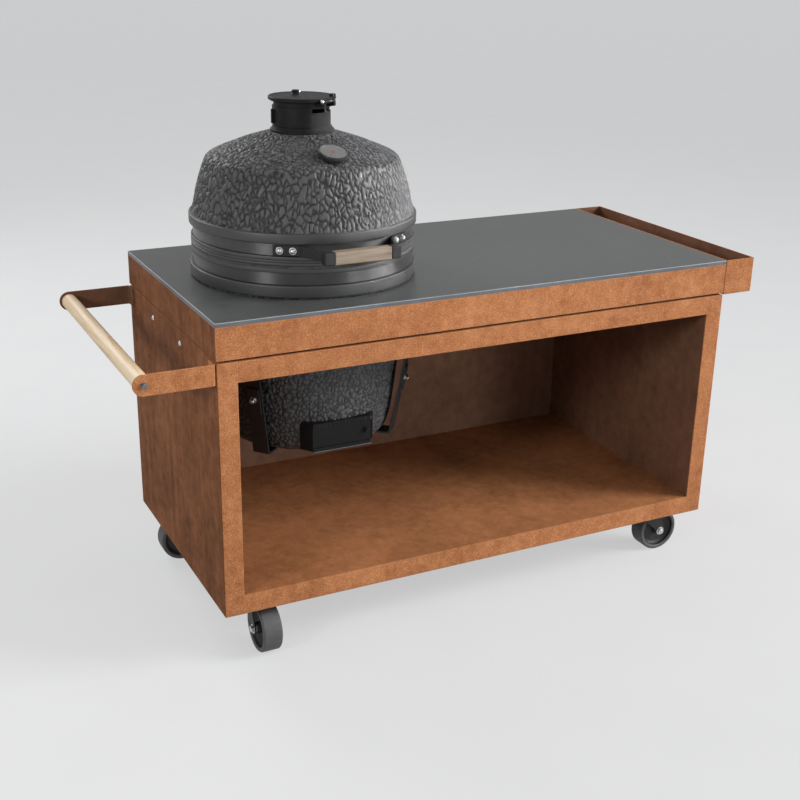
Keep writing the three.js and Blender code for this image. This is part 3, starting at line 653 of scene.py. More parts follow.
@dataclass(frozen=True)
class Rubber(Finish):
    """Grey wheel rubber, scuffed on its running face."""

    base: Colour = shade(84, 83, 84)
    scuff: Colour = shade(106, 104, 102)
    grit: Colour = shade(70, 69, 70)

    def build(self, g: Graph) -> bpy.types.Material:
        """Makes the material.

        Args:
            g: An empty graph.

        Returns:
            The material.
        """
        patches = g.grain(50, 4, 0.65)
        base = g.cover(self.base, self.scuff, patches, 0.45, 0.72, 0.7)
        sand = g.grain(800, 2, 0.6)
        base = g.cover(base, self.grit, sand, 0.55, 0.8, 0.25)
        return g.done(base, g.span(patches, 0.3, 0.7, 0.5, 0.68), g.bump(g.sum(sand, patches), 0.0004, 0.5))


@dataclass(frozen=True)
class Enamel(Finish):
    """A thin, slightly uneven enamel."""

    tint: Colour = shade(186, 32, 26)
    second: Colour = shade(150, 24, 20)

    def build(self, g: Graph) -> bpy.types.Material:
        """Makes the material.

        Args:
            g: An empty graph.

        Returns:
            The material.
        """
        patches = g.grain(300, 3, 0.6)
        base = g.cover(self.tint, self.second, patches, 0.3, 0.7)
        return g.done(base, g.span(patches, 0.3, 0.7, 0.3, 0.42), g.bump(patches, 0.0001, 0.3))


@dataclass(frozen=True)
class Glass(Finish):
    """Clear dial glass, smeared a little."""

    tint: Colour = (0.96, 0.97, 0.97, 1)

    def build(self, g: Graph) -> bpy.types.Material:
        """Makes the material from an empty graph."""
        smear = g.span(g.grain(120, 3, 0.6), 0.4, 0.8, 0.02, 0.09)
        return g.done(self.tint, smear, transmission_weight=1.0, ior=1.45)


RUST_FRONT = Rust("rust_front", Slot.RUST)
# A darker copy of the rust: painted shade for the left side's outer faces.
RUST_SHADED_SIDE = Rust("rust_shaded_side", Slot.RUST, deep=shade(99, 58, 36), middle=shade(125, 77, 46),
                 pale=shade(149, 95, 60), fleck_and_edge_highlight=shade(184, 126, 84), flecks=0.5, runs=0.4)
# A slightly darker, less flecked copy of the rust: painted shade for the bay's floor.
RUST_SHADED_FLOOR = Rust("rust_shaded_floor", Slot.RUST, deep=shade(144, 91, 57), middle=shade(168, 109, 69),
                   pale=shade(188, 124, 80), fleck_and_edge_highlight=shade(212, 148, 99), flecks=0.4, runs=0.1)
# A darker, greyer copy of the rust: painted shade for the inside of the back panel.
RUST_SHADED_BACK = Rust("rust_shaded_back", Slot.RUST, deep=shade(122, 90, 72), middle=shade(138, 103, 83),
                 pale=shade(152, 114, 92), fleck_and_edge_highlight=shade(168, 128, 102), flecks=0.25, runs=0.2)
# A darker copy of the rust: painted shade for the side liners, the tray's inner walls and the rear push bracket.
RUST_SHADED_LINER = Rust("rust_shaded_liner", Slot.RUST, deep=shade(106, 74, 56), middle=shade(123, 87, 67),
                  pale=shade(138, 99, 77), fleck_and_edge_highlight=shade(162, 118, 92), flecks=0.3, runs=0.2)
STONE = Slab("sintered_stone", Slot.STONE)
# Paler copies of the stone: painted light on the slab's upright faces, and a painted highlight on its eased rim.
STONE_LIT_EDGE = Slab("stone_lit_edge", Slot.STONE, dark=shade(88, 92, 97), middle=shade(98, 103, 109),
                  pale=shade(112, 117, 122))
STONE_EASE_HIGHLIGHT = Slab("stone_ease_highlight", Slot.STONE, dark=shade(150, 153, 156), middle=shade(170, 173, 176),
                  pale=shade(188, 190, 192))
GLAZE = Glaze("matt_glaze", Slot.CERAMIC)
BARE = BareClay("bare_inside", Slot.CERAMIC, sooty=0.6)
CLAY = BareClay("fireclay_sooted", Slot.CLAY)
BLACK = SatinBlack("satin_black", Slot.BLACK)
BAND = SatinBlack("band_coat", Slot.BLACK, coat=shade(38, 38, 39), dust=shade(46, 46, 46), gloss=0.33,
                  shine=1.0, drawn=0.85)
BEZEL = SatinBlack("bezel_coat", Slot.BLACK, coat=shade(40, 40, 41), dust=shade(52, 52, 52), gloss=0.3)
CAST = SatinBlack("tower_coat", Slot.BLACK, coat=shade(20, 20, 21), dust=shade(28, 28, 28), gloss=0.5,
                  shine=0.2)
DRAFT = SatinBlack("draft_coat", Slot.BLACK, coat=shade(10, 10, 11), dust=shade(17, 17, 18), gloss=0.42,
                   shine=0.2)
# A near black copy of the rubber: painted shade in the wheel's dished web.
WEB_SHADE = Rubber("wheel_web", Slot.RUBBER, base=shade(34, 34, 35), scuff=shade(52, 51, 51))
DULL = BrightSteel("dull_steel", Slot.STEEL, tone=shade(120, 121, 124), gloss=0.3)
RIM = SatinBlack("smooth_glaze", Slot.CERAMIC, coat=shade(38, 38, 39), dust=shade(46, 46, 46), gloss=0.42,
                 shine=0.9)
IRON = CastIron("cast_iron", Slot.IRON)
STEEL = BrightSteel("bright_steel", Slot.STEEL)
FELT = Felt("pressed_felt", Slot.FELT)
ASH = Timber("ash_bar", Slot.ASH)
WOOD = Timber("grip_wood", Slot.WOOD, grain_axis=Axis.X, pale=shade(162, 147, 129), dark=shade(142, 125, 105),
              line=shade(114, 96, 76), rings=120)
RUBBER = Rubber("grey_rubber", Slot.RUBBER)
RED = Enamel("needle_enamel", Slot.RED)
DIAL = Enamel("dial_face", Slot.BLACK, tint=shade(122, 119, 118), second=shade(108, 106, 105))
INK = Enamel("dial_ink", Slot.BLACK, tint=shade(188, 186, 182), second=shade(170, 168, 165))
GLASS = Glass("dial_glass", Slot.STEEL)


def rounded(points: Outline, radii: dict[int, float], steps: int = 4) -> Outline:
    """Rounds corners of an outline.

    Args:
        points: The outline's points.
        radii: The radius at each corner that is rounded, by its place in the list.
        steps: Straight parts in a corner.

    Returns:
        The outline with arcs in those corners.
    """
    made: Outline = []
    for i, point in enumerate(points):
        if i not in radii:
            made.append(point)
            continue
        here, before, after = (Vector(points[j % len(points)]) for j in (i, i - 1, i + 1))
        first, second = (before - here).normalized(), (after - here).normalized()
        half = first.angle(second) / 2
        reach = min(radii[i] / math.tan(half), 0.49 * (before - here).length, 0.49 * (after - here).length)
        start, end = here + first * reach, here + second * reach
        for k in range(steps + 1):
            t = k / steps
            curve = start * (1 - t) ** 2 + here * (2 * t * (1 - t)) + end * t ** 2
            made.append((curve.x, curve.y))
    return made


def even(points: Outline, spacing: float) -> Outline:
    """Draws a smooth line through points and marks it at an even spacing.

    Args:
        points: The points that the line passes through.
        spacing: The distance between marks.

    Returns:
        The marks, from the first point to the last.
    """
    knots = [Vector(p) for p in points]
    knots = [2 * knots[0] - knots[1], *knots, 2 * knots[-1] - knots[-2]]
    fine = []
    for a, b, c, d in zip(knots, knots[1:], knots[2:], knots[3:]):
        for k in range(12):
            t = k / 12
            fine.append(0.5 * (2 * b + (c - a) * t + (2 * a - 5 * b + 4 * c - d) * t * t
                               + (3 * b - 3 * c + d - a) * t ** 3))
    fine.append(knots[-2])
    lengths = [0.0]
    for a, b in zip(fine, fine[1:]):
        lengths.append(lengths[-1] + (b - a).length)
    count = max(2, round(lengths[-1] / spacing))
    marks: Outline = []
    step = 0
    for k in range(count + 1):
        goal = lengths[-1] * k / count
        while step < len(fine) - 2 and lengths[step + 1] < goal:
            step += 1
        share = (goal - lengths[step]) / max(lengths[step + 1] - lengths[step], 1e-9)
        mark = fine[step].lerp(fine[step + 1], min(max(share, 0.0), 1.0))
        marks.append((mark.x, mark.y))
    return marks


class Form:
    """A mesh while it is shaped, in millimetres in its own frame."""

    def __init__(self) -> None:
        """Starts an empty mesh."""
        self.bm = bmesh.new()

    def lathe(self, outline: Outline, columns: int, closed: bool = False, finish: int = 0) -> list[BMVert]:
        """Spins an outline of radius and height about the vertical.

        Args:
            outline: The points.
            columns: Steps round.
            closed: Whether the last point joins the first.
            finish: The place of the faces' finish in the piece's list.

        Returns:
            The new vertices.
        """
        bm = bmesh.new()
        chain = [bm.verts.new((r, 0, z)) for r, z in outline]
        links = list(zip(chain, chain[1:])) + ([(chain[-1], chain[0])] if closed else [])
        wires = [bm.edges.new(pair) for pair in links]
        sector, doublings = columns, 0
        while sector % 2 == 0 and sector > 12:
            sector, doublings = sector // 2, doublings + 1
        swept = 2 * math.pi * sector / columns
        bmesh.ops.spin(bm, geom=chain + wires, axis=(0, 0, 1), cent=(0, 0, 0), angle=swept, steps=sector,
                       use_merge=doublings == 0, use_duplicate=False)
        for _ in range(doublings):
            whole = bm.verts[:] + bm.edges[:] + bm.faces[:]
            copy = bmesh.ops.duplicate(bm, geom=whole)["geom"]
            turn = Matrix.Rotation(swept, 3, "Z")
            bmesh.ops.rotate(bm, verts=[v for v in copy if isinstance(v, BMVert)], cent=(0, 0, 0), matrix=turn)
            swept *= 2
        seams = [v for v in bm.verts if v.is_boundary or v.is_wire or math.hypot(v.co.x, v.co.y) < 1e-3]
        bmesh.ops.remove_doubles(bm, verts=seams, dist=1e-3)
        for face in bm.faces:
            face.material_index = finish
        return self.take(bm)

    def take(self, other: bmesh.types.BMesh) -> list[BMVert]:
        """Adds another mesh to the form and frees it.

        Args:
            other: The other mesh.

        Returns:
            The vertices that came.
        """
        old = set(self.bm.verts)
        mesh = bpy.data.meshes.new("taken")
        other.to_mesh(mesh)
        other.free()
        self.bm.from_mesh(mesh)
        bpy.data.meshes.remove(mesh)
        return [v for v in self.bm.verts if v not in old]

    def prism(self, outline: Outline, axis: Axis, start: float, end: float) -> list[BMFace]:
        """Carries an outline along an axis.

        Args:
            outline: Points of (y, z) for the x axis, (x, z) for y, or (x, y) for z.
            axis: The axis.
            start: Where the outline stands on it.
            end: Where it is carried to.

        Returns:
            The new faces.
        """
        bm = self.bm
        old = set(bm.faces)
        build: dict[Axis, Callable[[float, float], Place]] = {
            Axis.X: lambda u, v: (start, u, v),
            Axis.Y: lambda u, v: (u, start, v),
            Axis.Z: lambda u, v: (u, v, start),
        }
        face = bm.faces.new([bm.verts.new(build[axis](u, v)) for u, v in outline])
        moved = bmesh.ops.extrude_face_region(bm, geom=[face], use_keep_orig=True)
        verts = [v for v in moved["geom"] if isinstance(v, BMVert)]
        bmesh.ops.translate(bm, verts=verts, vec=Vector(axis.value) * (end - start))
        return [f for f in bm.faces if f not in old]

    def box(self, low: Place, high: Place) -> list[BMFace]:
        """A box.

        Args:
            low: Its lowest corner.
            high: Its highest corner.

        Returns:
            Its faces.
        """
        old = set(self.bm.faces)
        size = Vector(high) - Vector(low)
        middle = (Vector(high) + Vector(low)) / 2
        matrix = Matrix.Translation(middle) @ Matrix.Diagonal((*size, 1))
        bmesh.ops.create_cube(self.bm, size=1, matrix=matrix)
        return [f for f in self.bm.faces if f not in old]

    def rod(self, radius: float, start: Place, end: Place, sides: int = 24, tip: float | None = None) -> list[BMFace]:
        """A round rod or a cone.

        Args:
            radius: Its radius at the start.
            start: The middle of its first end.
            end: The middle of its far end.
            sides: Its faces round.
            tip: Its radius at the far end, if that is another.

        Returns:
            Its faces.
        """
        old = set(self.bm.faces)
        line = Vector(end) - Vector(start)
        turn = Vector((0, 0, 1)).rotation_difference(line).to_matrix().to_4x4()
        matrix = Matrix.Translation((Vector(start) + Vector(end)) / 2) @ turn
        bmesh.ops.create_cone(self.bm, cap_ends=True, segments=sides, radius1=radius,
                              radius2=radius if tip is None else tip, depth=line.length, matrix=matrix)
        return [f for f in self.bm.faces if f not in old]

    def pan(self, low: Place, high: Place, open_to: Vector, sheet: float) -> list[BMFace]:
        """A folded pan with one open side.

        Args:
            low: Its lowest corner.
            high: Its highest corner.
            open_to: The direction that it opens to.
            sheet: The thickness of its walls.

        Returns:
            Its faces.
        """
        bm = self.bm
        faces = self.box(low, high)
        bm.normal_update()
        mouth = next(f for f in faces if f.normal.dot(open_to) > 0.9)
        depth = abs((Vector(high) - Vector(low)).dot(open_to)) - sheet
        rim = bmesh.ops.inset_region(bm, faces=[mouth], thickness=sheet, use_even_offset=True)["faces"]
        moved = bmesh.ops.extrude_face_region(bm, geom=[mouth])["geom"]
        verts = [v for v in moved if isinstance(v, BMVert)]
        bmesh.ops.translate(bm, verts=verts, vec=open_to * -depth)
        inner = [f for f in moved if isinstance(f, BMFace)]
        if mouth.is_valid:
            bmesh.ops.delete(bm, geom=[mouth], context="FACES_ONLY")
        return faces + rim + inner

    def bevel(self, width: float, segments: int = 2, angle: float = 40,
              among: Iterable[BMFace] | None = None, where: Callable[[BMEdge], bool] | None = None) -> None:
        """Rounds the sharp edges.

        Args:
            width: How far the rounding reaches from an edge.
            segments: Its steps.
            angle: The least angle between faces, in degrees, that counts as sharp.
            among: The faces whose edges are meant, or all.
            where: A further test of each edge.
        """
        faces = None if among is None else set(f for f in among if f.is_valid)
        edges = [e for e in self.bm.edges if len(e.link_faces) == 2
                 and (faces is None or all(f in faces for f in e.link_faces))
                 and e.calc_face_angle(0) > math.radians(angle) and (where is None or where(e))]
        bmesh.ops.bevel(self.bm, geom=edges, offset=width, segments=segments, profile=0.5,
                        affect="EDGES", clamp_overlap=True, material=-1)

    def shift(self, faces: Iterable[BMFace], matrix: Matrix) -> None:
        """Moves some faces by a matrix."""
        verts = list({v for f in faces for v in f.verts})
        bmesh.ops.transform(self.bm, matrix=matrix, verts=verts)

    def outward(self) -> None:
        """Merges doubles and turns every face outwards."""
        bmesh.ops.remove_doubles(self.bm, verts=self.bm.verts[:], dist=1e-4)
        bmesh.ops.recalc_face_normals(self.bm, faces=self.bm.faces[:])

    def piece(self, name: str, body: Body | str, finishes: Finish | Sequence[Finish], place: Matrix,
              replaces: Sequence[str] = (), smooth: float = 35, flats: bool = True) -> bpy.types.Object:
        """Turns the form into a piece of the scene.

        Args:
            name: The piece's name.
            body: The body that it rides on.
            finishes: Its finish, or the list that its faces' finish numbers pick from.
            place: From the form's frame to the scene, in metres.
            replaces: The CAD nodes that it stands for.
            smooth: Faces that meet at less than this angle are shaded as one.
            flats: Whether large flat faces keep an even shade.

        Returns:
            The new object.
        """
        self.outward()
        self.bm.transform(place)
        mesh = bpy.data.meshes.new(name)
        self.bm.to_mesh(mesh)
        self.bm.free()
        mesh.shade_smooth()
        mesh.set_sharp_from_angle(angle=math.radians(smooth))
        made = bpy.data.objects.new(name, mesh)
        bpy.context.scene.collection.objects.link(made)
        kinds = [finishes] if isinstance(finishes, Finish) else list(finishes)
        for kind in kinds:
            mesh.materials.append(kind.material())
        if flats:
            made.modifiers.new("even_flats", "WEIGHTED_NORMAL").keep_sharp = True
        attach(made, body.value if isinstance(body, Body) else body)
        if replaces:
            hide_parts(*replaces)
        log.info("%s: %d faces", name, len(mesh.polygons))
        return made


def dress(nodes: Iterable[str], finish: Finish) -> None:
    """Gives CAD nodes a finish in place of their plain one.

    Args:
        nodes: The nodes' names.
        finish: The finish.
    """
    for name in nodes:
        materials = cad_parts[name].data.materials
        materials.clear()
        materials.append(finish.material())
        log.info("%s: dressed in %s", name, finish.name)


class Head(Enum):
    """The kinds of bolt head."""

    DOME = "dome"
    HEX = "hex"
    BUTTON = "button"


@dataclass
class Bolt:
    """A bolt head on its washer, standing on a surface."""

    radius: float
    height: float
    head: Head = Head.HEX
    washer: float = 1.35
    plate: float = 1.2
    sunk: float = 0.5

    def build(self, name: str, body: Body | str, place: Matrix, finish: Finish = STEEL, shank: float = 0,
              replaces: Sequence[str] = ()) -> None:
        """Models the head with its washer, up along z from the surface.

        Args:
            name: The piece's name.
            body: The body that it rides on.
            place: The head's own frame.
            finish: The metal.
            shank: How far the shank goes down into the surface.
            replaces: The CAD node that it stands for.
        """
        form = Form()
        plate, r, h = self.plate, self.radius, self.height
        disc = [(0, -self.sunk), (r * self.washer, -self.sunk), (r * self.washer, plate), (0, plate)]
        form.lathe(rounded(disc, {2: 0.5}, 2), 24)
        if shank:
            form.rod(r / 2, (0, 0, -shank), (0, 0, 0), 16)
        if self.head is Head.HEX:
            faces = form.rod(r, (0, 0, plate), (0, 0, plate + h), 6)
            form.bevel(0.12 * r, 2, among=faces)
            form.rod(0.5 * r, (0, 0, plate + h), (0, 0, plate + h + 0.8), 16, tip=0.4 * r)
        elif self.head is Head.DOME:
            faces = form.rod(r, (0, 0, plate), (0, 0, plate + 0.45 * h), 6)
            form.bevel(0.1 * r, 2, among=faces)
            form.lathe([(0, plate + 0.4 * h), (0.86 * r, plate + 0.4 * h)]
                       + [(0.86 * r * math.cos(a), plate + h * (0.45 + 0.55 * math.sin(a)))
                          for a in [i * math.pi / 12 for i in range(7)]], 24)
        else:
            form.lathe([(0, plate - 0.3), (r, plate - 0.3)]
                       + [(r * math.cos(a), plate + h * math.sin(a)) for a in [0, 0.3, 0.6, 0.9, 1.15]]
                       + [(0.38 * r, plate + h), (0.34 * r, plate + 0.45 * h), (0, plate + 0.45 * h)], 24)
        form.piece(name, body, finish, place, replaces)


def facing(point: Place, towards: Place) -> Matrix:
    """A frame at a point whose z axis looks along a direction."""
    turn = Vector((0, 0, 1)).rotation_difference(Vector(towards)).to_matrix().to_4x4()
    return Matrix.Translation(point) @ turn


# The relief value of smooth glaze and bare clay.
SMOOTH_LEVEL = 0.7


@dataclass
class Relief:
    """A cracked, pebbled ceramic skin. Neighbouring pebbles partly run together into worms."""

    pebble: float = 11.2
    tall: float = 0.56
    crack: float = 3.7
    depth: float = 3.6
    joined: float = -0.62
    proud: float = 0.5
    seed: int = 5
    stir: float = 0.24
    pick: float = 17.3

    def level(self, point: Vector) -> float:
        """How high the skin is.

        Args:
            point: A point of the smooth skin.

        Returns:
            The level, from 0 in a crack to 1 on a pebble.
        """
        place = Vector((point.x, point.y, point.z * self.tall)) / self.pebble
        place += noise.noise_vector(place * 0.8) * self.stir
        _, seeds = noise.voronoi(place)
        nearest = seeds[0]
        gap = math.inf
        for other in seeds[1:]:
            between = (nearest + other) / 2
            if noise.cell(between * self.pick) < self.joined:
                continue
            across = (other - nearest).normalized()
            gap = min(gap, (between - place).dot(across))
        share = min(max(2 * gap * self.pebble / self.crack, 0.0), 1.0)
        swell = min(gap * 2.4, 1.0)
        return 0.66 * share * share * (3 - 2 * share) + 0.34 * swell * (2 - swell)

    def raise_skin(self, form: Form, verts: list[BMVert], held: Callable[[Vector], bool]) -> None:
        """Moves a skin's vertices along their normals and notes the relief.

        Args:
            form: The form that holds the skin.
            verts: The skin's vertices.
            held: Says which vertices stay in place.
        """
        noise.seed_set(self.seed)
        layer = form.bm.verts.layers.float["relief"]
        form.bm.normal_update()
        moves = []
        for vert in verts:
            level = self.level(vert.co)
            vert[layer] = level
            outward = vert.normal if vert.normal.dot(Vector((vert.co.x, vert.co.y, 0.3))) > 0 else -vert.normal
            if not held(vert.co):
                moves.append((vert, outward * (self.proud - self.depth * (1 - level))))
        for vert, move in moves:
            vert.co += move


def ring_at(form: Form, verts: Iterable[BMVert], radius: float, height: float) -> list[BMEdge]:
    """Finds an open ring of a spun shape.

    Args:
        form: The form that holds the shape.
        verts: The shape's vertices.
        radius: The ring's radius.
        height: The ring's height.

    Returns:
        The ring's edges.
    """
    near = {v for v in verts if v.is_valid and abs(v.co.z - height) < 0.2
            and abs(math.hypot(v.co.x, v.co.y) - radius) < 0.6}
    return [e for e in form.bm.edges if e.is_boundary and e.verts[0] in near and e.verts[1] in near]


@dataclass
class Dome:
    """The kamado's lid: pebbled skin, smooth rim and lip, and bare inside."""

    skin: Outline = field(default_factory=lambda: [
        *((share * RIM_RADIUS, height) for share, height in (
            (0.979, 156.4), (0.954, 181.5), (0.931, 212.1), (0.901, 242.7), (0.87, 268.3), (0.853, 281.5),
            (0.828, 292.5), (0.772, 302.2), (0.649, 316.5), (0.512, 331.3))), (81.2, 351)])
    crease: int = 6
    seam: float = 79.3
    mouth: float = 259
    neck: float = 76
    spacing: float = 2.55
    wall_columns: int = 720
    crown_columns: int = 480
    columns: int = 192
    relief: Relief = field(default_factory=Relief)

    def build(self) -> None:
        """Models the dome in place of its CAD node."""
        form = Form()
        form.bm.verts.layers.float.new("relief")
        wall_line = even(self.skin, self.spacing)
        turn = min(range(len(wall_line)), key=lambda i: abs(wall_line[i][1] - self.skin[self.crease][1]))
        wall = form.lathe(wall_line[:turn + 1], self.wall_columns)
        crown = form.lathe(wall_line[turn + 1:], self.crown_columns)
        rim = rounded([
            self.skin[0], (RIM_RADIUS, 156.2), (RIM_RADIUS, 132), (273.2, 132), (273.2, 102), (281, 102),
            (281, 94.4), (279, 93.2), (281, 92), (281, 88.4), (279, 87.2), (281, 86), (281, self.seam),
            (self.mouth, self.seam)],
            {1: 3.5, 2: 2.5, 5: 2, 6: 0.6, 7: 0.6, 8: 0.6, 9: 0.6, 10: 0.6, 11: 0.6, 12: 2}, 3)
        inner = [(0.923 * r, 155.9 + (z - 155.9) * 0.867) for r, z in self.skin[1:-1]]
        smooth = form.lathe(rim, self.columns, finish=2)
        low, high = self.skin[0][1], self.skin[-1][1]
        flue = [(58, 325), (58, high), (self.neck, high)]
        inside = form.lathe([(self.mouth, self.seam), *inner, *flue], self.columns, finish=1)
        layer = form.bm.verts.layers.float["relief"]
        for vert in smooth + inside:
            vert[layer] = SMOOTH_LEVEL
        self.relief.raise_skin(form, wall + crown, lambda co: co.z < low + 0.5 or co.z > high - 0.5)
        crease = self.open_ring(form, wall, wall_line[turn][1]) + self.open_ring(form, crown, wall_line[turn + 1][1])
        bmesh.ops.bridge_loops(form.bm, edges=crease)
        foot = ring_at(form, wall, *self.skin[0])
        bmesh.ops.bridge_loops(form.bm, edges=foot + ring_at(form, smooth, *self.skin[0]))
        top = ring_at(form, crown, *wall_line[-1])
        bmesh.ops.bridge_loops(form.bm, edges=top + ring_at(form, inside, self.neck, high))
        form.piece("dome_shell", Body.LID, [GLAZE, BARE, RIM], GRILL, ["dome"], smooth=60, flats=False)

    @staticmethod
    def open_ring(form: Form, verts: list[BMVert], height: float) -> list[BMEdge]:
        """The open edges of a pebbled skin within 6 mm of a height."""
        near = {v for v in verts if abs(v.co.z - height) < 6}
        return [e for e in form.bm.edges if e.is_boundary and e.verts[0] in near and e.verts[1] in near]


@dataclass
class Bowl:
    """The kamado's base: pebbled skin, smooth rings, bare inside and an air port."""

    skin: Outline = field(default_factory=lambda: [
        (203.6, -415), (212, -407.9), (220, -392.2), (228.6, -358.1), (235.1, -315), (243.1, -244.9),
        (251.1, -200), (266.5, -100), (279, -8.3), (279.6, 2)])
    port: tuple[float, float, float] = (60, -384, -338)
    seam: float = 73
    mouth: float = 259
    wall: float = 22
    floor: float = -389
    spacing: float = 2.85
    skin_columns: int = 576
    columns: int = 192
    relief: Relief = field(default_factory=lambda: Relief(pebble=10, tall=0.75, crack=3.4, joined=-0.7, depth=3.2))

    def build(self) -> None:
        """Models the bowl in place of its CAD node."""
        form = Form()
        form.bm.verts.layers.float.new("relief")
        line = even(self.skin, self.spacing)
        skin = form.lathe(line, self.skin_columns)
        low, high = self.skin[0], self.skin[-1]
        rings = rounded([
            high, (RIM_RADIUS, 4), (RIM_RADIUS, 32.7), (273.2, 32.7), (273.2, 62.3), (281, 62.3),
            (281, self.seam), (self.mouth, self.seam)], {1: 3, 2: 3, 5: 1.5, 6: 1.5}, 5)
        smooth = form.lathe(rings, self.columns, finish=2)
        inner = [(r - self.wall, z) for r, z in self.skin[-2:1:-1]]
        hearth = [(196, self.floor), (0, self.floor)]
        inside = form.lathe([(self.mouth, self.seam), *inner, *hearth], self.columns, finish=1)
        foot = form.lathe([(0, low[1]), low], self.columns)
        layer = form.bm.verts.layers.float["relief"]
        for vert in smooth + inside + foot:
            vert[layer] = SMOOTH_LEVEL
        self.relief.raise_skin(form, skin, lambda co: co.z < low[1] + 0.5 or co.z > high[1] - 0.5)
        bmesh.ops.bridge_loops(form.bm, edges=ring_at(form, skin, *line[-1]) + ring_at(form, smooth, *high))
        bmesh.ops.bridge_loops(form.bm, edges=ring_at(form, skin, *line[0]) + ring_at(form, foot, *low))
        form.outward()
        self.cut_port(form)
        form.piece("bowl_shell", Body.TABLE, [GLAZE, BARE, RIM], GRILL, ["bowl"], smooth=60, flats=False)

    def cut_port(self, form: Form) -> None:
        """Cuts the air port through both walls at the front and closes its sides.

        Args:
            form: The form that holds the bowl.
        """
        bm = form.bm
        half, low, high = self.port
        for normal, point in (((1, 0, 0), (half, 0, 0)), ((-1, 0, 0), (-half, 0, 0)),
                              ((0, 0, 1), (0, 0, high)), ((0, 0, -1), (0, 0, low))):
            faces = [f for f in bm.faces if f.calc_center_median().y < -50
                     and abs(f.calc_center_median().x) < half + 20
                     and low - 12 < f.calc_center_median().z < high + 60]
            geom = list(dict.fromkeys(x for f in faces for x in (*f.verts, *f.edges))) + faces
            bmesh.ops.bisect_plane(bm, geom=geom, dist=1e-4, plane_co=point, plane_no=normal)
        hole = [f for f in bm.faces if f.calc_center_median().y < -50
                and abs(f.calc_center_median().x) < half and low < f.calc_center_median().z < high]
        bmesh.ops.delete(bm, geom=hole, context="FACES")
        rims = [e for e in bm.edges if e.is_boundary]
        walls = bmesh.ops.bridge_loops(bm, edges=rims)["faces"]
        for face in walls:
            face.material_index = 1


@dataclass
class Straps:
    """The two steel bands round the kamado and the two seals between bowl and dome."""

    seat: float = 273.6
    face: float = 276.0
    height: float = 29
    felt: tuple[float, float] = (262.7, 280.7)
    thickness: float = 3
    columns: int = 192

    def build(self) -> None:
        """Models the bands and seals in place of their CAD nodes."""
        for name, body, bottom in (("bowl_band", Body.TABLE, 33.0), ("dome_band", Body.LID, 102.3)):
            form = Form()
            top = bottom + self.height
            outline = [(self.seat, bottom), (self.face, bottom), (self.face, top), (self.seat, top)]
            form.lathe(rounded(outline, {1: 0.9, 2: 0.9}, 3), self.columns, closed=True)
            form.piece(name + "_strap", body, BAND, GRILL, [name])
        for name, body, bottom in (("bowl_gasket", Body.TABLE, 73.0), ("dome_gasket", Body.LID, 76.3)):
            form = Form()
            (inner, outer), top = self.felt, bottom + self.thickness
            outline = [(inner, bottom), (outer, bottom), (outer, top), (inner, top)]
            form.lathe(rounded(outline, {0: 1, 1: 1, 2: 1, 3: 1}, 3), self.columns, closed=True)
            form.piece(name + "_felt", body, FELT, GRILL, [name])


def folded(form: Form, path: Outline, sheet: float, axis: Axis, start: float, end: float,
           bend: float = 3.0) -> list[BMFace]:
    """Folds a sheet along an axis.

    Args:
        form: The form to add to.
        path: The sheet's face, seen along the axis. Its thickness goes to the left of the path.
        sheet: The thickness.
        axis: The direction of the folds.
        start: Where the sheet starts on the axis.
        end: Where it ends.
        bend: The outer radius of a fold.

    Returns:
        The sheet's faces.
    """
    points = [Vector(p) for p in path]
    left = []
    for i, point in enumerate(points):
        before = (points[max(i, 1)] - points[max(i, 1) - 1]).normalized()
        after = (points[min(i + 1, len(points) - 1)] - points[min(i + 1, len(points) - 1) - 1]).normalized()
        middle = before + after
        left.append(point + Vector((-middle.y, middle.x)) * (2 * sheet / middle.length_squared))
    outline = [tuple(p) for p in points + left[::-1]]
    count = len(path)
    radii = {}
    for i in range(1, count - 1):
        turn = (points[i] - points[i - 1]).angle_signed(points[i + 1] - points[i])
        outer, inner = (i, 2 * count - 1 - i) if turn < 0 else (2 * count - 1 - i, i)
        radii[inner] = bend
        radii[outer] = max(bend - sheet, 0.4)
    return form.prism(rounded(outline, radii, 5), axis, start, end)


@dataclass
class Worktop:
    """The stone slab with its round opening and its eased rim, whose upright faces and rounding are painted paler as
    painted light.
    """

    length: float = LENGTH
    depth: float = DEPTH
    bottom: float = 875
    top: float = TOP
    hole: float = 282
    centre: tuple[float, float] = (360, DEPTH / 2)
    ease: float = 1.3

    def build(self) -> None:
        """Models the slab in place of its CAD node."""
        form = Form()
        bm = form.bm
        middle = Vector((self.length / 2, self.depth / 2, self.bottom))
        size = Matrix.Translation(middle) @ Matrix.Diagonal((self.length, self.depth, 1, 1))
        bmesh.ops.create_grid(bm, x_segments=1, y_segments=1, size=0.5, matrix=size)
        bmesh.ops.delete(bm, geom=bm.faces[:], context="FACES_ONLY")
        ring = Matrix.Translation((*self.centre, self.bottom))
        bmesh.ops.create_circle(bm, cap_ends=False, segments=160, radius=self.hole, matrix=ring)
        bmesh.ops.triangle_fill(bm, edges=bm.edges[:], use_beauty=True, normal=(0, 0, 1))
        moved = bmesh.ops.extrude_face_region(bm, geom=bm.faces[:], use_keep_orig=True)["geom"]
        verts = [v for v in moved if isinstance(v, BMVert)]
        bmesh.ops.translate(bm, verts=verts, vec=(0, 0, self.top - self.bottom))
        form.outward()
        form.bevel(self.ease, 3, where=lambda e: max(v.co.z for v in e.verts) > self.top - 0.1)
        bm.normal_update()
        # Upright faces take a paler copy as painted light, and the rounded ease a near white copy as a painted
        # highlight.
        for face in bm.faces:
            flat, upright = abs(face.normal.z) > 0.999, abs(face.normal.z) < 0.001
            face.material_index = 0 if flat else 1 if upright else 2
        form.piece("stone_slab", Body.TABLE, [STONE, STONE_LIT_EDGE, STONE_EASE_HIGHLIGHT], TABLE, ["worktop"], smooth=50)


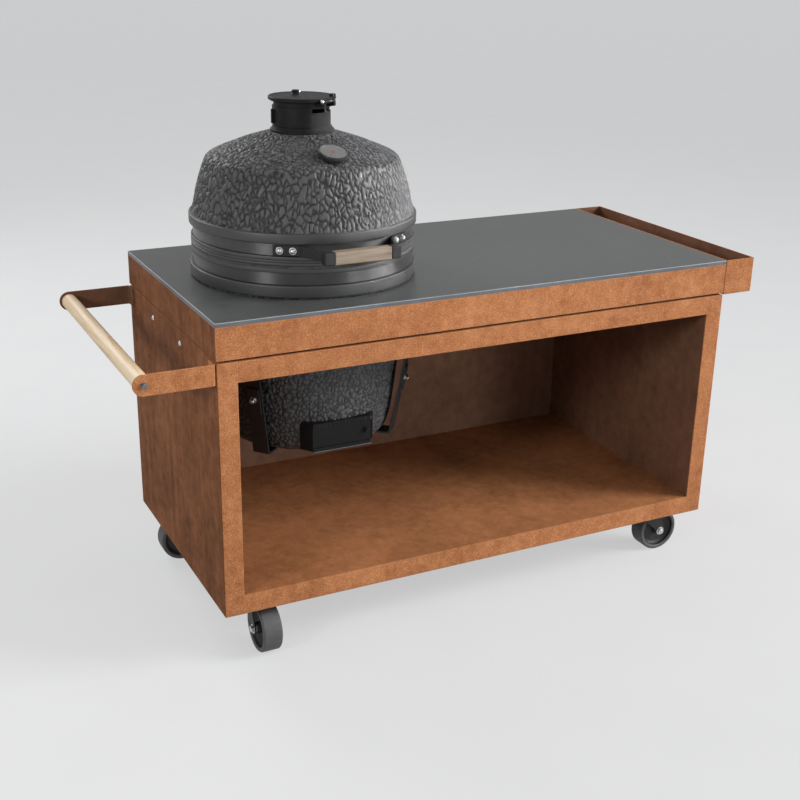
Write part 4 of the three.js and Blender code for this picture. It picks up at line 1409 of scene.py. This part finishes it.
@dataclass
class Cabinet:
    """The welded cabinet of weathered sheet, its aprons and its side tray."""

    length: float = LENGTH
    depth: float = DEPTH
    edge: float = 50
    sheet: float = 3
    low: float = 145
    high: float = 790
    apron: tuple[float, float] = (796, 875)
    flange: float = 30
    gap: float = 1.2
    tray: float = 94
    tray_top: float = TOP
    bend: float = 3.2
    bolt_level: float = 760
    bolt_depths: tuple[float, float] = (268, 496)

    def build(self) -> None:
        """Builds every sheet of the cabinet."""
        self.aprons()
        self.panels()
        self.tray_box()
        self.frame_sheets()
        # The side liners take a darker copy of the rust, as painted shade.
        dress(["side_liner_left", "side_liner_right"], RUST_SHADED_LINER)
        # The bay's floor takes a darker copy of the rust, as painted shade.
        dress(["floor_liner"], RUST_SHADED_FLOOR)
        # The deck plate is dressed near black, as painted shade in the gap under the aprons.
        dress(["deck_plate"], CAST)
        self.bolts()

    def fold(self, name: str, path: Outline, start: float, end: float, inside: Finish = RUST_FRONT) -> None:
        """Folds one long sheet along x in place of the CAD node of its name.

        Args:
            name: The node's name.
            path: The sheet's outer line of depth and height.
            start: Its left end.
            end: Its right end.
            inside: The finish of the face that looks into the bay.
        """
        form = Form()
        folded(form, path, self.sheet, Axis.X, start, end, self.bend)
        # Faces that look into the bay may take a darker copy of the rust, as painted shade.
        for face in form.bm.faces:
            inner = self.sheet < face.calc_center_median().y < self.depth - self.sheet / 2
            face.material_index = 1 if inner and inside is not RUST_FRONT else 0
        form.piece(name + "_sheet", Body.TABLE, [RUST_FRONT, inside], TABLE, [name])

    def aprons(self) -> None:
        """Folds the four aprons under the worktop."""
        low, high = self.apron
        lip, depth = self.flange, self.depth
        self.fold("apron_front", [(lip, high), (0, high), (0, low), (lip, low)], 0, self.length - self.gap)
        self.fold("apron_rear", [(depth - lip, low), (depth, low), (depth, high), (depth - lip, high)],
                  0, self.length)
        for name, side, x in (("left", -1, 0.0), ("right", 1, self.length)):
            form = Form()
            near, far = sorted((x - side * self.sheet, x + side * 0.2))
            faces = form.box((near, 0.6, low + 0.3), (far, depth - 0.6, high - 0.3))
            form.bevel(0.7, 2, among=faces)
            # The left apron takes the darker copy of the rust, as painted shade.
            finish = RUST_SHADED_SIDE if side < 0 else RUST_FRONT
            form.piece(f"apron_{name}_sheet", Body.TABLE, finish, TABLE, [f"apron_{name}"])

    def panels(self) -> None:
        """Folds the two side pans, whose front flanges are the cabinet's posts."""
        for name, side, x in (("left", 1, 0.0), ("right", -1, self.length)):
            form = Form()
            inner = x + side * self.edge
            near, far = sorted((x, inner))
            form.pan((near, 0, self.low), (far, self.depth, self.high), Vector((side, 0, 0)), self.sheet)
            form.outward()
            form.bevel(self.bend, 4, where=lambda e: all(abs(v.co.x - inner) > 1 for v in e.verts)
                       and all(self.on_skin(v.co, x) for v in e.verts))
            form.bm.normal_update()
            # The left pan's outer faces, bevels included, take the darker copy of the rust, as painted shade.
            for face in form.bm.faces:
                outer = abs(face.calc_center_median().x - x) < self.bend
                face.material_index = 1 if outer and face.normal.x * side < -0.25 else 0
            kinds = [RUST_FRONT, RUST_SHADED_SIDE if side > 0 else RUST_FRONT]
            form.piece(f"side_panel_{name}_pan", Body.TABLE, kinds, TABLE, [f"side_panel_{name}"])

    def on_skin(self, point: Vector, x: float) -> bool:
        """Whether a point lies on the outside of a side pan."""
        return (abs(point.x - x) < 0.1 or min(abs(point.y), abs(point.y - self.depth)) < 0.1
                or min(abs(point.z - self.low), abs(point.z - self.high)) < 0.1)

    def tray_box(self) -> None:
        """Folds the open tray at the right end."""
        form = Form()
        left, right = self.length + 1, self.length + self.tray
        form.pan((left, 0, self.high), (right, self.depth, self.tray_top), Vector((0, 0, 1)), self.sheet)
        form.outward()
        form.bevel(2.4, 3, where=lambda e: all(v.co.z < self.tray_top - 1 for v in e.verts)
                   and all(v.co.x < left + 0.1 or v.co.x > right - 0.1 or v.co.y < 0.1
                           or v.co.y > self.depth - 0.1 or v.co.z < self.high + 0.1 for v in e.verts))
        # The tray's inner walls take a darker copy of the rust, as painted shade.
        for face in form.bm.faces:
            x, y, z = face.calc_center_median()
            inner = left + 2 < x < right - 2 and 2 < y < self.depth - 2 and z < self.tray_top - 0.5
            face.material_index = 1 if inner and z > self.high + 2 else 0
        form.piece("side_tray_box", Body.TABLE, [RUST_FRONT, RUST_SHADED_LINER], TABLE, ["side_tray"])

    def frame_sheets(self) -> None:
        """Folds the floor pan, the back panel and the front rail."""
        floor, depth, edge = self.low + self.edge, self.depth, self.edge
        start, end = self.edge, self.length - self.edge
        self.fold("floor_pan", [(0, floor), (0, self.low), (depth, self.low), (depth, floor)], start, end)
        # The back panel's inner face takes the darker copy of the rust, as painted shade.
        self.fold("back_panel", [(depth, floor), (depth, self.high), (depth - edge, self.high)], start, end,
                  RUST_SHADED_BACK)
        self.fold("top_rail_front", [(edge, self.high), (0, self.high), (0, self.high - edge),
                                     (edge, self.high - edge)], start, end)

    def bolts(self) -> None:
        """Sets the small bolts in both side panels."""
        bolt = Bolt(5.4, 3.6, Head.BUTTON, 1.25)
        for side, x, out in (("left", 0.0, (-1, 0, 0)), ("right", self.length, (1, 0, 0))):
            for index, y in enumerate(self.bolt_depths):
                place = TABLE @ facing((x, y, self.bolt_level), out)
                bolt.build(f"panel_bolt_{side}_{index + 1}", Body.TABLE, place)


@dataclass
class PushHandle:
    """Two bent brackets and a turned ash bar."""

    reach: float = 165
    level: float = 765
    height: float = 50
    plate: float = 5
    tail: float = 40
    radius: float = 20
    depth: float = DEPTH

    def build(self) -> None:
        """Models both brackets, the bar and its bolts."""
        half = self.height / 2
        nose = -self.reach - half
        for end, mirror in (("front", False), ("rear", True)):
            form = Form()
            path = [(nose, 0), (-self.plate, 0), (0, self.plate), (0, self.tail)]
            folded(form, path, self.plate, Axis.Z, self.level - half, self.level + half, 5)
            form.outward()
            form.bevel(half - 0.1, 10, where=lambda e: all(v.co.x < nose + 0.1 for v in e.verts)
                       and abs(e.verts[0].co.y - e.verts[1].co.y) > 1)
            form.bevel(0.9, 2, angle=50)
            if mirror:
                form.shift(form.bm.faces, Matrix.Translation((0, self.depth, 0)) @ Matrix.Diagonal((1, -1, 1, 1)))
            # The rear bracket takes a darker copy of the rust, as painted shade.
            form.piece(f"push_bracket_{end}_plate", Body.TABLE, RUST_SHADED_LINER if mirror else RUST_FRONT, TABLE,
                       [f"push_bracket_{end}"])
            out = (0, 1, 0) if mirror else (0, -1, 0)
            place = facing((-self.reach, self.depth if mirror else 0, self.level), out)
            Bolt(6.4, 4.6, Head.HEX, 1.3).build(f"push_bar_bolt_{end}_head", Body.TABLE, TABLE @ place, DULL,
                                                shank=30, replaces=[f"push_bar_bolt_{end}"])
        form = Form()
        faces = form.rod(self.radius, (-self.reach, self.plate, self.level),
                         (-self.reach, self.depth - self.plate, self.level), 72)
        form.bevel(1.6, 3, among=faces)
        form.piece("push_bar_ash", Body.TABLE, ASH, TABLE, ["push_bar"])


@dataclass
class Caster:
    """One swivel caster: bolted plate and race, pressed fork, and grey wheel on its axle."""

    corner: str
    x: float
    y: float
    turn: float
    radius: float = 62.5
    trail: float = 42
    top: float = 134
    seat: float = 141
    fork: float = 32
    leg: float = 4
    eye: float = 15
    web: float = 50.5

    def build(self) -> None:
        """Models the plate, the fork and the wheel."""
        still = TABLE @ at(self.x, self.y, 0)
        turned = TABLE @ at(self.x, self.y, 0, self.turn)
        self.build_plate(still)
        self.build_fork(turned)
        self.build_wheel(turned @ at(-self.trail, 0, self.radius) @ Matrix.Rotation(math.pi / 2, 4, "X"))

    def build_plate(self, place: Matrix) -> None:
        """Models the plate, its ball race and its four bolts.

        Args:
            place: The caster's frame, unturned.
        """
        form = Form()
        faces = form.box((-52.5, -42.5, self.seat), (52.5, 42.5, self.seat + 4))
        form.bevel(8, 5, among=faces, where=lambda e: abs(e.verts[0].co.z - e.verts[1].co.z) > 1)
        race = [(0, 134.4), (27.5, 134.4), (27.5, 138), (21, self.seat + 0.2), (0, self.seat + 0.2)]
        form.lathe(rounded(race, {1: 1.5, 2: 2.5, 3: 2}, 4), 48)
        form.piece(f"caster_plate_{self.corner}_race", Body.TABLE, BLACK, place, [f"caster_plate_{self.corner}"])
        for index, (x, y) in enumerate(((-42, -32), (42, -32), (-42, 32), (42, 32))):
            Bolt(5.5, 3.2).build(f"caster_bolt_{self.corner}_{index + 1}", Body.TABLE,
                                 place @ facing((x, y, self.seat), (0, 0, -1)))

    def build_fork(self, place: Matrix) -> None:
        """Models the fork with its two legs, and the axle with its nuts.

        Args:
            place: The caster's frame, turned to its rest direction.
        """
        body = f"caster_fork_{self.corner}"
        half, x, z = self.fork, -self.trail, self.radius
        form = Form()
        crown = form.box((-27, -half, 127), (27, half, self.top - 0.2))
        form.bevel(5.5, 4, among=crown, where=lambda e: abs(e.verts[0].co.x - e.verts[1].co.x) > 1
                   and e.verts[0].co.z > 130)
        leg = [(x + self.eye * math.cos(a), z + self.eye * math.sin(a))
               for a in [math.radians(165 + 15 * i) for i in range(15)]]
        leg += [(27, 116), (27, 129.5), (-27, 129.5)]
        for start in (-half, half - self.leg):
            faces = form.prism(leg, Axis.Y, start, start + self.leg)
            form.bevel(1.0, 2, among=faces, angle=60)
        form.rod(6, (x, -half, z), (x, half, z), 24)
        form.piece(f"caster_fork_{self.corner}_legs", body, BLACK, place, [body])
        for index, side in enumerate((-1, 1)):
            Bolt(9.4, 5.6, Head.HEX, 1.3).build(f"caster_nut_{self.corner}_{index + 1}", body,
                                                place @ facing((x, side * half, z), (0, side, 0)))

    def build_wheel(self, place: Matrix) -> None:
        """Models the wheel with its raised rims, dished web and hub.

        Args:
            place: The wheel's frame, with its axle along z.
        """
        form = Form()
        side = [(15, -26), (15.5, -12), (24, -9), (43, -9), (49, -15), (self.web, -22), (53, -25),
                (59.3, -25), (62.3, -21.5), (self.radius, -16)]
        outline = [(6.3, -26), *side, *[(u, -v) for u, v in side[::-1]], (6.3, 26)]
        form.lathe(rounded(outline, {1: 1, 4: 4, 5: 3, 6: 2, 7: 1.5, 8: 1.5, 13: 1.5, 14: 1.5, 15: 2, 16: 3, 17: 4,
                                     20: 1}, 3), 96, closed=True)
        # The dished web takes the near black copy of the rubber, as painted shade in the recess.
        for face in form.bm.faces:
            spot = face.calc_center_median()
            face.material_index = 1 if spot.xy.length < self.web and abs(spot.z) < 23 else 0
        body = f"caster_wheel_{self.corner}"
        form.piece(body + "_tyre", body, [RUBBER, WEB_SHADE], place, [body])
        form = Form()
        for side in (-1, 1):
            near, far = side * 26.1, side * 27.4
            form.lathe(rounded([(6.2, near), (11.8, near), (11.8, far), (6.2, far)], {2: 0.5}, 2), 32, closed=True)
        form.piece(f"caster_bearing_{self.corner}", body, STEEL, place)


@dataclass
class Hangers:
    """Four bent straps that hook over the deck and hold the bowl by its foot."""

    angles: dict[str, float] = field(default_factory=lambda: {
        "front_right": -40, "front_left": -140, "rear_right": 40, "rear_left": 140})
    path: Outline = field(default_factory=lambda: [
        (192.95, -420.3), (238.95, -420.3), (299.96, -88.7), (341.96, -88.7)])
    half: float = 22.5
    sheet: float = 5
    joint: tuple[float, float] = (118, 190)
    joint_half: float = 18
    joint_sheet: float = 4

    def build(self) -> None:
        """Models each strap with its joint plate and bolt."""
        low, high = Vector(self.path[1]), Vector(self.path[2])
        line = (high - low).normalized()
        out = Vector((line.y, -line.x))
        start, end = (low + line * reach for reach in self.joint)
        face = out * self.joint_sheet
        for corner, angle in self.angles.items():
            place = GRILL @ at(0, 0, 0, angle)
            form = Form()
            folded(form, self.path, self.sheet, Axis.Y, -self.half, self.half, 9)
            form.outward()
            form.bevel(0.8, 2, angle=50)
            form.piece(f"hanger_{corner}_strap", Body.TABLE, BLACK, place, [f"hanger_{corner}"])
            form = Form()
            section = [start + out * 0.1, start + face, end + face, end + out * 0.1]
            faces = form.prism([tuple(p) for p in section], Axis.Y, -self.joint_half, self.joint_half)
            form.outward()
            form.bevel(1.2, 2, among=faces)
            form.piece(f"hanger_{corner}_fishplate", Body.TABLE, BLACK, place)
            spot = start.lerp(end, 0.55) + face
            Bolt(7, 8.5).build(f"hanger_bolt_{corner}", Body.TABLE,
                               place @ facing((spot.x, 0, spot.y), (out.x, 0, out.y)))


@dataclass
class LidHandle:
    """Two bent straps on the dome's band, square end caps and a wooden grip."""

    foot: float = 276.4
    start: float = 38.5
    end: float = 25.5
    front: float = -347
    depth: float = 24
    half: float = 72.5
    reach: float = 90
    cap: float = 8
    sheet: float = 5
    levels: tuple[float, float] = (99, 129)
    turn: float = 1.3

    def build(self) -> None:
        """Models the straps, caps, bolts and grip."""
        place = GRILL @ at(0, 0, 0, self.turn)
        low, high = self.levels
        back = self.front + self.depth
        for name, side in (("left", -1), ("right", 1)):
            form = Form()
            spots = [self.polar(-90 + side * self.start), self.polar(-90 + side * self.end)]
            path = [*spots, (side * self.reach, back + 3), (side * self.reach, self.front + 3)]
            if side < 0:
                path = path[::-1]
            folded(form, path, self.sheet, Axis.Z, low + 5, high - 0.4, 9)
            form.outward()
            form.bevel(0.8, 2, angle=50)
            inner, outer = sorted((side * (self.half + 0.4), side * (self.reach + self.cap)))
            cap = form.box((inner, self.front, low), (outer, back, high))
            form.bevel(2.6, 1, among=cap)
            form.piece(f"lid_arm_{name}_strap", Body.LID, BLACK, place, [f"lid_arm_{name}"])
            first, last = Vector(spots[0]), Vector(spots[1])
            along = (last - first).normalized()
            out = Vector((along.y, -along.x))
            if out.dot(first) < 0:
                out = -out
            for index, share in enumerate((0.26, 0.76)):
                spot = first.lerp(last, share) + out * self.sheet
                Bolt(7.4, 7.5, Head.DOME, 1.2).build(
                    f"lid_bolt_{name}_{index + 1}", Body.LID,
                    place @ facing((spot.x, spot.y, 116.3), (out.x, out.y, 0)))
        form = Form()
        faces = form.box((-self.half, self.front, low), (self.half, back, high))
        form.bevel(2.2, 3, among=faces)
        form.piece("lid_grip_wood", Body.LID, WOOD, place, ["lid_grip"])

    def polar(self, degrees: float) -> tuple[float, float]:
        """A point on the band's face."""
        return (self.foot * math.cos(math.radians(degrees)), self.foot * math.sin(math.radians(degrees)))


@dataclass
class Chimney:
    """Cast tower with three slots, a sleeve that turns over them, and a hinged cap."""

    columns: int = 360
    slots: list[float] = field(default_factory=lambda: [-39, 15, 69])
    span: float = 46
    window: tuple[float, float] = (49, 59)
    pin: tuple[float, float] = (90, 78)

    def build(self) -> None:
        """Models the tower, the sleeve and the cap."""
        self.tower()
        self.sleeve()
        self.cap()

    def tower(self) -> None:
        """Turns the tower, cuts its slots and adds the hinge cheeks."""
        form = Form()
        low, high = self.window
        outline = rounded([
            (58, 0), (79, 0), (79, 5.5), (74.5, 7.5), (74.5, 11), (72, 11), (72, 14.4), (70, 14.4), (70, low),
            (70, high), (70, 73), (64, 73), (64, high), (64, low), (64, 12), (58, 6)],
            {1: 1, 2: 2, 4: 1.2, 6: 1.2, 10: 1, 11: 1}, 3)
        form.lathe(outline, self.columns, closed=True)
        bm = form.bm
        for start in self.slots:
            gone = []
            for face in bm.faces:
                spot = face.calc_center_median()
                angle = math.degrees(math.atan2(spot.y, spot.x))
                if low < spot.z < high and 63 < spot.xy.length < 71 and start < angle < start + self.span:
                    gone.append(face)
            bmesh.ops.delete(bm, geom=gone, context="FACES")
            bmesh.ops.bridge_loops(bm, edges=[e for e in bm.edges if e.is_boundary])
        cheek = [(67, 63), (96, 67), (96, 78), (90, 84), (86, 84), (86, 72.7), (67, 72.7)]
        for start in (12, -20):
            faces = form.prism(rounded(cheek, {1: 4, 2: 3, 3: 3, 4: 1}, 3), Axis.Y, start, start + 8)
            form.bevel(0.8, 2, among=faces, angle=50)
        form.piece("chimney_tower_cast", Body.LID, CAST, CHIMNEY, ["chimney_tower"])
        x, z = self.pin
        for index, side in enumerate((-1, 1)):
            Bolt(4.6, 2.6, Head.BUTTON, 1.15).build(
                f"cap_hinge_screw_{index + 1}", Body.LID, CHIMNEY @ facing((x, side * 20, z), (0, side, 0)),
                shank=18, replaces=["cap_hinge_pin"] if index else [])

    def sleeve(self) -> None:
        """Bends the sleeve round its half of the tower and adds the thumb tab."""
        form = Form()
        bm = form.bm
        corners = rounded([(70.9, 15), (73.4, 15), (73.4, 61), (70.9, 61)], {1: 0.6, 2: 0.6}, 2)
        first = math.radians(159)
        section = [bm.verts.new((r * math.cos(first), r * math.sin(first), z)) for r, z in corners]
        wires = [bm.edges.new((a, b)) for a, b in zip(section, section[1:] + section[:1])]
        bmesh.ops.spin(bm, geom=section + wires, axis=(0, 0, 1), cent=(0, 0, 0), angle=math.radians(176),
                       steps=88, use_merge=False, use_duplicate=False)
        bmesh.ops.holes_fill(bm, edges=[e for e in bm.edges if e.is_boundary], sides=0)
        tab = form.box((72.6, -3.7, 21), (80.4, 3.7, 55))
        form.shift(tab, Matrix.Rotation(math.radians(247), 4, "Z"))
        form.bevel(1.5, 3, among=tab)
        form.piece("chimney_sleeve_band", Body.SLEEVE, CAST, CHIMNEY, ["chimney_sleeve"])

    def cap(self) -> None:
        """Turns the cap with its knob, hinge tongue and screw."""
        form = Form()
        form.lathe(rounded([(0, 73.4), (78.5, 73.4), (79.5, 76), (83, 76), (83, 82), (81, 84.3), (74, 84.3),
                            (73, 83.5), (0, 83.5)], {1: 0.8, 3: 1, 4: 1.5, 5: 1}, 3), 128)
        knob = form.lathe(rounded([(0, 83), (10, 83), (10, 85), (8.2, 86.5), (8.2, 90), (9.6, 91.5), (9.6, 94.3),
                                   (8.6, 95.3), (0, 95.3)], {5: 1, 6: 1}, 2), 40)
        bmesh.ops.translate(form.bm, verts=knob, vec=(-22, 0, 0))
        tongue = form.prism(rounded([(71, 73.8), (90, 72.4), (95.6, 78), (90, 83.6), (71, 83.9)],
                                    {1: 4, 2: 4, 3: 4}, 3), Axis.Y, -11.6, 11.6)
        form.bevel(0.8, 2, among=tongue, angle=50)
        lug = form.box((60, 33, 81), (73, 44, 91.5))
        form.bevel(1.4, 2, among=lug)
        form.piece("chimney_cap_disc", Body.CAP, CAST, CHIMNEY, ["chimney_cap"])
        screw = CHIMNEY @ facing((-15.6, 5.2, 91), (0.755, 0.656, 0))
        Bolt(3.6, 2.6, Head.BUTTON, 1.2).build("cap_screw", Body.CAP, screw)


@dataclass
class Thermometer:
    """A round case with a bezel, a plain scale and glass over the needle."""

    ticks: int = 31
    sweep: float = 270
    plate: float = 12
    rim: float = 31

    def build(self) -> None:
        """Models the case, the scale and the glass."""
        form = Form()
        form.lathe(rounded([(0, -55), (4, -55), (4, -1.7), (21, -1.7), (21, 5), (35.6, 5), (35.6, 12), (34.4, 15),
                            (32.4, 15), (32.4, 12), (1.2, 12), (1.2, 13.4), (0, 13.4)],
                           {5: 1.5, 6: 3, 7: 1, 8: 0.8}, 4), 96)
        form.piece("thermometer_bezel", Body.LID, BEZEL, GAUGE, ["thermometer_case"])
        form = Form()
        low, high = self.plate, self.plate + 0.06
        form.lathe([(1.4, high), (32.3, high), (32.3, low), (1.4, low)], 96, closed=True)
        form.piece("thermometer_dial", Body.LID, DIAL, GAUGE)
        form = Form()
        for i in range(self.ticks):
            angle = math.radians(self.sweep / 2 - self.sweep * i / (self.ticks - 1))
            start, half = (27.5, 0.2) if i % 5 else (24.5, 0.35)
            tick = form.box((start, -half, low), (self.rim, half, low + 0.16))
            form.shift(tick, Matrix.Rotation(angle, 4, "Z"))
        form.piece("thermometer_scale", Body.LID, INK, GAUGE)
        form = Form()
        form.lathe([(0, 14.1), (32.3, 14.1), (32.3, 14.7), (0, 14.9)], 64)
        form.piece("thermometer_glass", Body.LID, GLASS, GAUGE)
        dress(["thermometer_needle"], RED)


@dataclass
class FireParts:
    """What stands in the bowl: fire box, ring, iron grate and the cooking grid."""

    grid_radius: float = 224
    level: float = 19.4
    rows: int = 14
    pitch: float = 15
    rod: float = 2.0
    cross_rod: float = 2.4

    def build(self) -> None:
        """Models the ring and the grid, and dresses the rest."""
        dress(["fire_box"], CLAY)
        dress(["fire_grate"], IRON)
        form = Form()
        form.lathe(rounded([(199, -153.7), (216, -153.7), (235, 16.3), (218, 16.3)], {0: 2, 1: 2, 2: 3, 3: 3}, 4),
                   144, closed=True)
        form.piece("fire_ring_clay", Body.TABLE, CLAY, GRILL, ["fire_ring"])
        form = Form()
        radius = self.grid_radius
        hoop = [(radius + 3 * math.cos(a), self.level + 2.9 * math.sin(a))
                for a in [i * math.pi / 6 for i in range(12)]]
        form.lathe(hoop, 128, closed=True)
        for row in range(-self.rows, self.rows + 1):
            x = row * self.pitch
            half = math.sqrt(radius ** 2 - x * x)
            form.rod(self.rod, (x, -half, self.level + 0.5), (x, half, self.level + 0.5), 10)
        for y in (-110, 110):
            half = math.sqrt(radius ** 2 - y * y)
            form.rod(self.cross_rod, (-half, y, self.level - 1.4), (half, y, self.level - 1.4), 10)
        form.piece("cooking_grid_rods", Body.TABLE, STEEL, GRILL, ["cooking_grid"])


@dataclass
class Hinge:
    """The lid's hinge behind the seam, with the bolts of its feet."""

    face: float = 281.3
    low: float = 47.5
    high: float = 116.8
    spots: tuple[float, ...] = (-20, 0, 20)

    def build(self) -> None:
        """Dresses the brackets and pin, and sets the bolts."""
        dress(["hinge_bowl_bracket", "hinge_dome_bracket"], BLACK)
        dress(["hinge_pin"], STEEL)
        for name, body, level in (("low", Body.TABLE, self.low), ("high", Body.LID, self.high)):
            for index, x in enumerate(self.spots):
                Bolt(5, 3.4).build(f"hinge_bolt_{name}_{index + 1}", body,
                                   GRILL @ facing((x, self.face, level), (0, 1, 0)))


@dataclass
class DraftPort:
    """The draft frame at the bowl's foot and its sliding door."""

    half: float = 79
    face: float = -236
    low: float = -398.6
    high: float = -331.4
    front: float = -244.6
    ribs: tuple[float, ...] = (-62, -54, -44, -34, 8, 18, 34, 42, 52, 62)

    def build(self) -> None:
        """Dresses the frame, and models the door with its knob and clips."""
        dress(["draft_frame"], DRAFT)
        form = Form()
        plate = form.box((-self.half, self.face - 4, self.low), (self.half, self.face, self.high))
        form.bevel(1.0, 2, among=plate)
        knob = form.lathe(rounded([(0, 0), (4.2, 0), (4.2, 5), (6.8, 6.5), (6.8, 11.2), (5.8, 12), (0, 12)],
                                  {3: 1, 4: 1}, 3), 32)
        turn = facing((67, self.face - 3.8, (self.low + self.high) / 2), (0, -1, 0))
        bmesh.ops.transform(form.bm, matrix=turn, verts=knob)
        form.piece("draft_door_plate", Body.DOOR, DRAFT, GRILL, ["draft_door"])
        form = Form()
        for x in self.ribs:
            rib = form.box((x - 0.9, self.front, -338), (x + 0.9, self.front + 1.4, -331.8))
            form.bevel(0.4, 1, among=rib)
        clip = form.box((74, self.front - 0.4, -337), (82, self.face, -328))
        form.bevel(1.2, 2, among=clip)
        form.piece("draft_frame_ribs", Body.TABLE, BLACK, GRILL)
        form = Form()
        lip = form.box((-self.half, self.front, -403), (self.half, self.front + 1.6, -401.4))
        form.bevel(0.4, 1, among=lip)
        form.piece("draft_frame_lip", Body.TABLE, DULL, GRILL)


@dataclass(frozen=True)
class Lamp:
    """A square soft lamp that looks at a point. It stands in metres, as the camera does."""

    name: str
    place: Place
    size: float
    power: float
    aim: Place = (-0.1, 0, 0.7)
    spread: float = 180

    def hang(self) -> None:
        """Adds the lamp to the scene."""
        data = bpy.data.lights.new(self.name, "AREA")
        data.shape = "SQUARE"
        data.size = self.size
        data.energy = self.power
        data.spread = math.radians(self.spread)
        lamp = bpy.data.objects.new(self.name, data)
        look = (Vector(self.place) - Vector(self.aim)).to_track_quat("Z", "Y")
        lamp.matrix_world = Matrix.Translation(self.place) @ look.to_matrix().to_4x4()
        bpy.context.scene.collection.objects.link(lamp)


def seen_rays(tree: bpy.types.NodeTree) -> Socket:
    """Tells the rays that show a surface from those that light the object.

    Args:
        tree: The node tree that needs to know.

    Returns:
        A value that is 1 for camera, glossy and transmission rays, and 0 for the others.
    """
    path = tree.nodes.new("ShaderNodeLightPath").outputs
    seen = path["Is Camera Ray"]
    for kind in ("Is Glossy Ray", "Is Transmission Ray"):
        either = tree.nodes.new("ShaderNodeMath")
        either.operation = "MAXIMUM"
        tree.links.new(seen, either.inputs[0])
        tree.links.new(path[kind], either.inputs[1])
        seen = either.outputs[0]
    return seen


@dataclass
class Studio:
    """The camera, lamps and floor. The floor and the air look paler than the light they give."""

    lens: float = 55.625
    position: Place = (-1.4859, -2.8538, 1.6994)
    angles: Place = (-27.062, 20.793, 1.088)
    floor_half: float = 60
    floor_glow: float = 0.52
    air_light: float = 0.24
    air_seen: float = 0.62
    lamps: tuple[Lamp, ...] = (
        Lamp("key", (7.9, -4.6, 5.0), 4.2, 193, spread=80),
        Lamp("low", (1.7, -3.5, 1.0), 0.9, 6.7, spread=90),
        Lamp("grill", (4.6, -1.4, 2.3), 0.3, 1.5, (-0.36, 0, 1.1), 12),
        Lamp("left", (-3.4, -1.75, 1.9), 0.7, 38),
        Lamp("back", (-1.6, 3.4, 3.0), 2.0, 60),
        Lamp("top", (0.2, -0.2, 4.4), 3.0, 10))

    def camera(self) -> None:
        """Stands the camera where the photograph was taken from."""
        a, e, roll = (math.radians(x) for x in self.angles)
        right = Vector((math.cos(a), math.sin(a), 0))
        back = Vector((math.sin(a) * math.cos(e), -math.cos(a) * math.cos(e), math.sin(e)))
        up = back.cross(right)
        across = math.cos(roll) * right + math.sin(roll) * up
        upward = -math.sin(roll) * right + math.cos(roll) * up
        data = bpy.data.cameras.new("camera")
        data.lens = self.lens
        data.sensor_width = 36
        data.clip_end = 200
        camera = bpy.data.objects.new("camera", data)
        turn = Matrix((across, upward, back)).transposed().to_4x4()
        camera.matrix_world = Matrix.Translation(self.position) @ turn
        bpy.context.scene.collection.objects.link(camera)
        bpy.context.scene.camera = camera

    def floor(self) -> None:
        """Lays a pale floor under the object."""
        form = Form()
        bmesh.ops.create_grid(form.bm, x_segments=1, y_segments=1, size=self.floor_half)
        mesh = bpy.data.meshes.new("floor")
        form.bm.to_mesh(mesh)
        form.bm.free()
        floor = bpy.data.objects.new("floor", mesh)
        graph = Graph("floor_paint")
        tint = graph.cover(shade(142, 142, 143), shade(146, 146, 146), graph.grain(3, 3), 0.3, 0.7)
        glow = graph.times(seen_rays(graph.material.node_tree), self.floor_glow)
        graph.join(glow, graph.shader.inputs["Emission Strength"])
        mesh.materials.append(graph.done(tint, 0.9, specular_ior_level=0.1, emission_color=(0.98, 0.99, 1, 1)))
        bpy.context.scene.collection.objects.link(floor)

    def air(self) -> None:
        """Gives the world an even pale light."""
        world = bpy.data.worlds.new("air")
        world.use_nodes = True
        tree = world.node_tree
        back = tree.nodes["Background"]
        back.inputs["Color"].default_value = (1, 1, 1, 1)
        level = tree.nodes.new("ShaderNodeMapRange")
        level.inputs["To Min"].default_value = self.air_light
        level.inputs["To Max"].default_value = self.air_seen
        tree.links.new(seen_rays(tree), level.inputs["Value"])
        tree.links.new(level.outputs[0], back.inputs["Strength"])
        bpy.context.scene.world = world

    def build(self) -> None:
        """Sets up the whole studio."""
        bpy.context.scene.view_settings.view_transform = "Standard"
        self.camera()
        self.floor()
        self.air()
        for lamp in self.lamps:
            lamp.hang()


def main() -> None:
    """Builds the scene, one sub-assembly after another."""
    logging.basicConfig(level=logging.INFO, format="%(message)s")
    Studio().build()
    parts = [Worktop(), Cabinet(), PushHandle(), Dome(), Bowl(), Straps(), Hangers(), LidHandle(), Chimney(),
             Thermometer(), FireParts(), Hinge(), DraftPort(),
             Caster("front_left", 121, 98, 90), Caster("front_right", 1319, 98, 180),
             Caster("rear_left", 121, 620, 0), Caster("rear_right", 1319, 620, 270)]
    for part in parts:
        part.build()


if __name__ == "__main__":
    main()
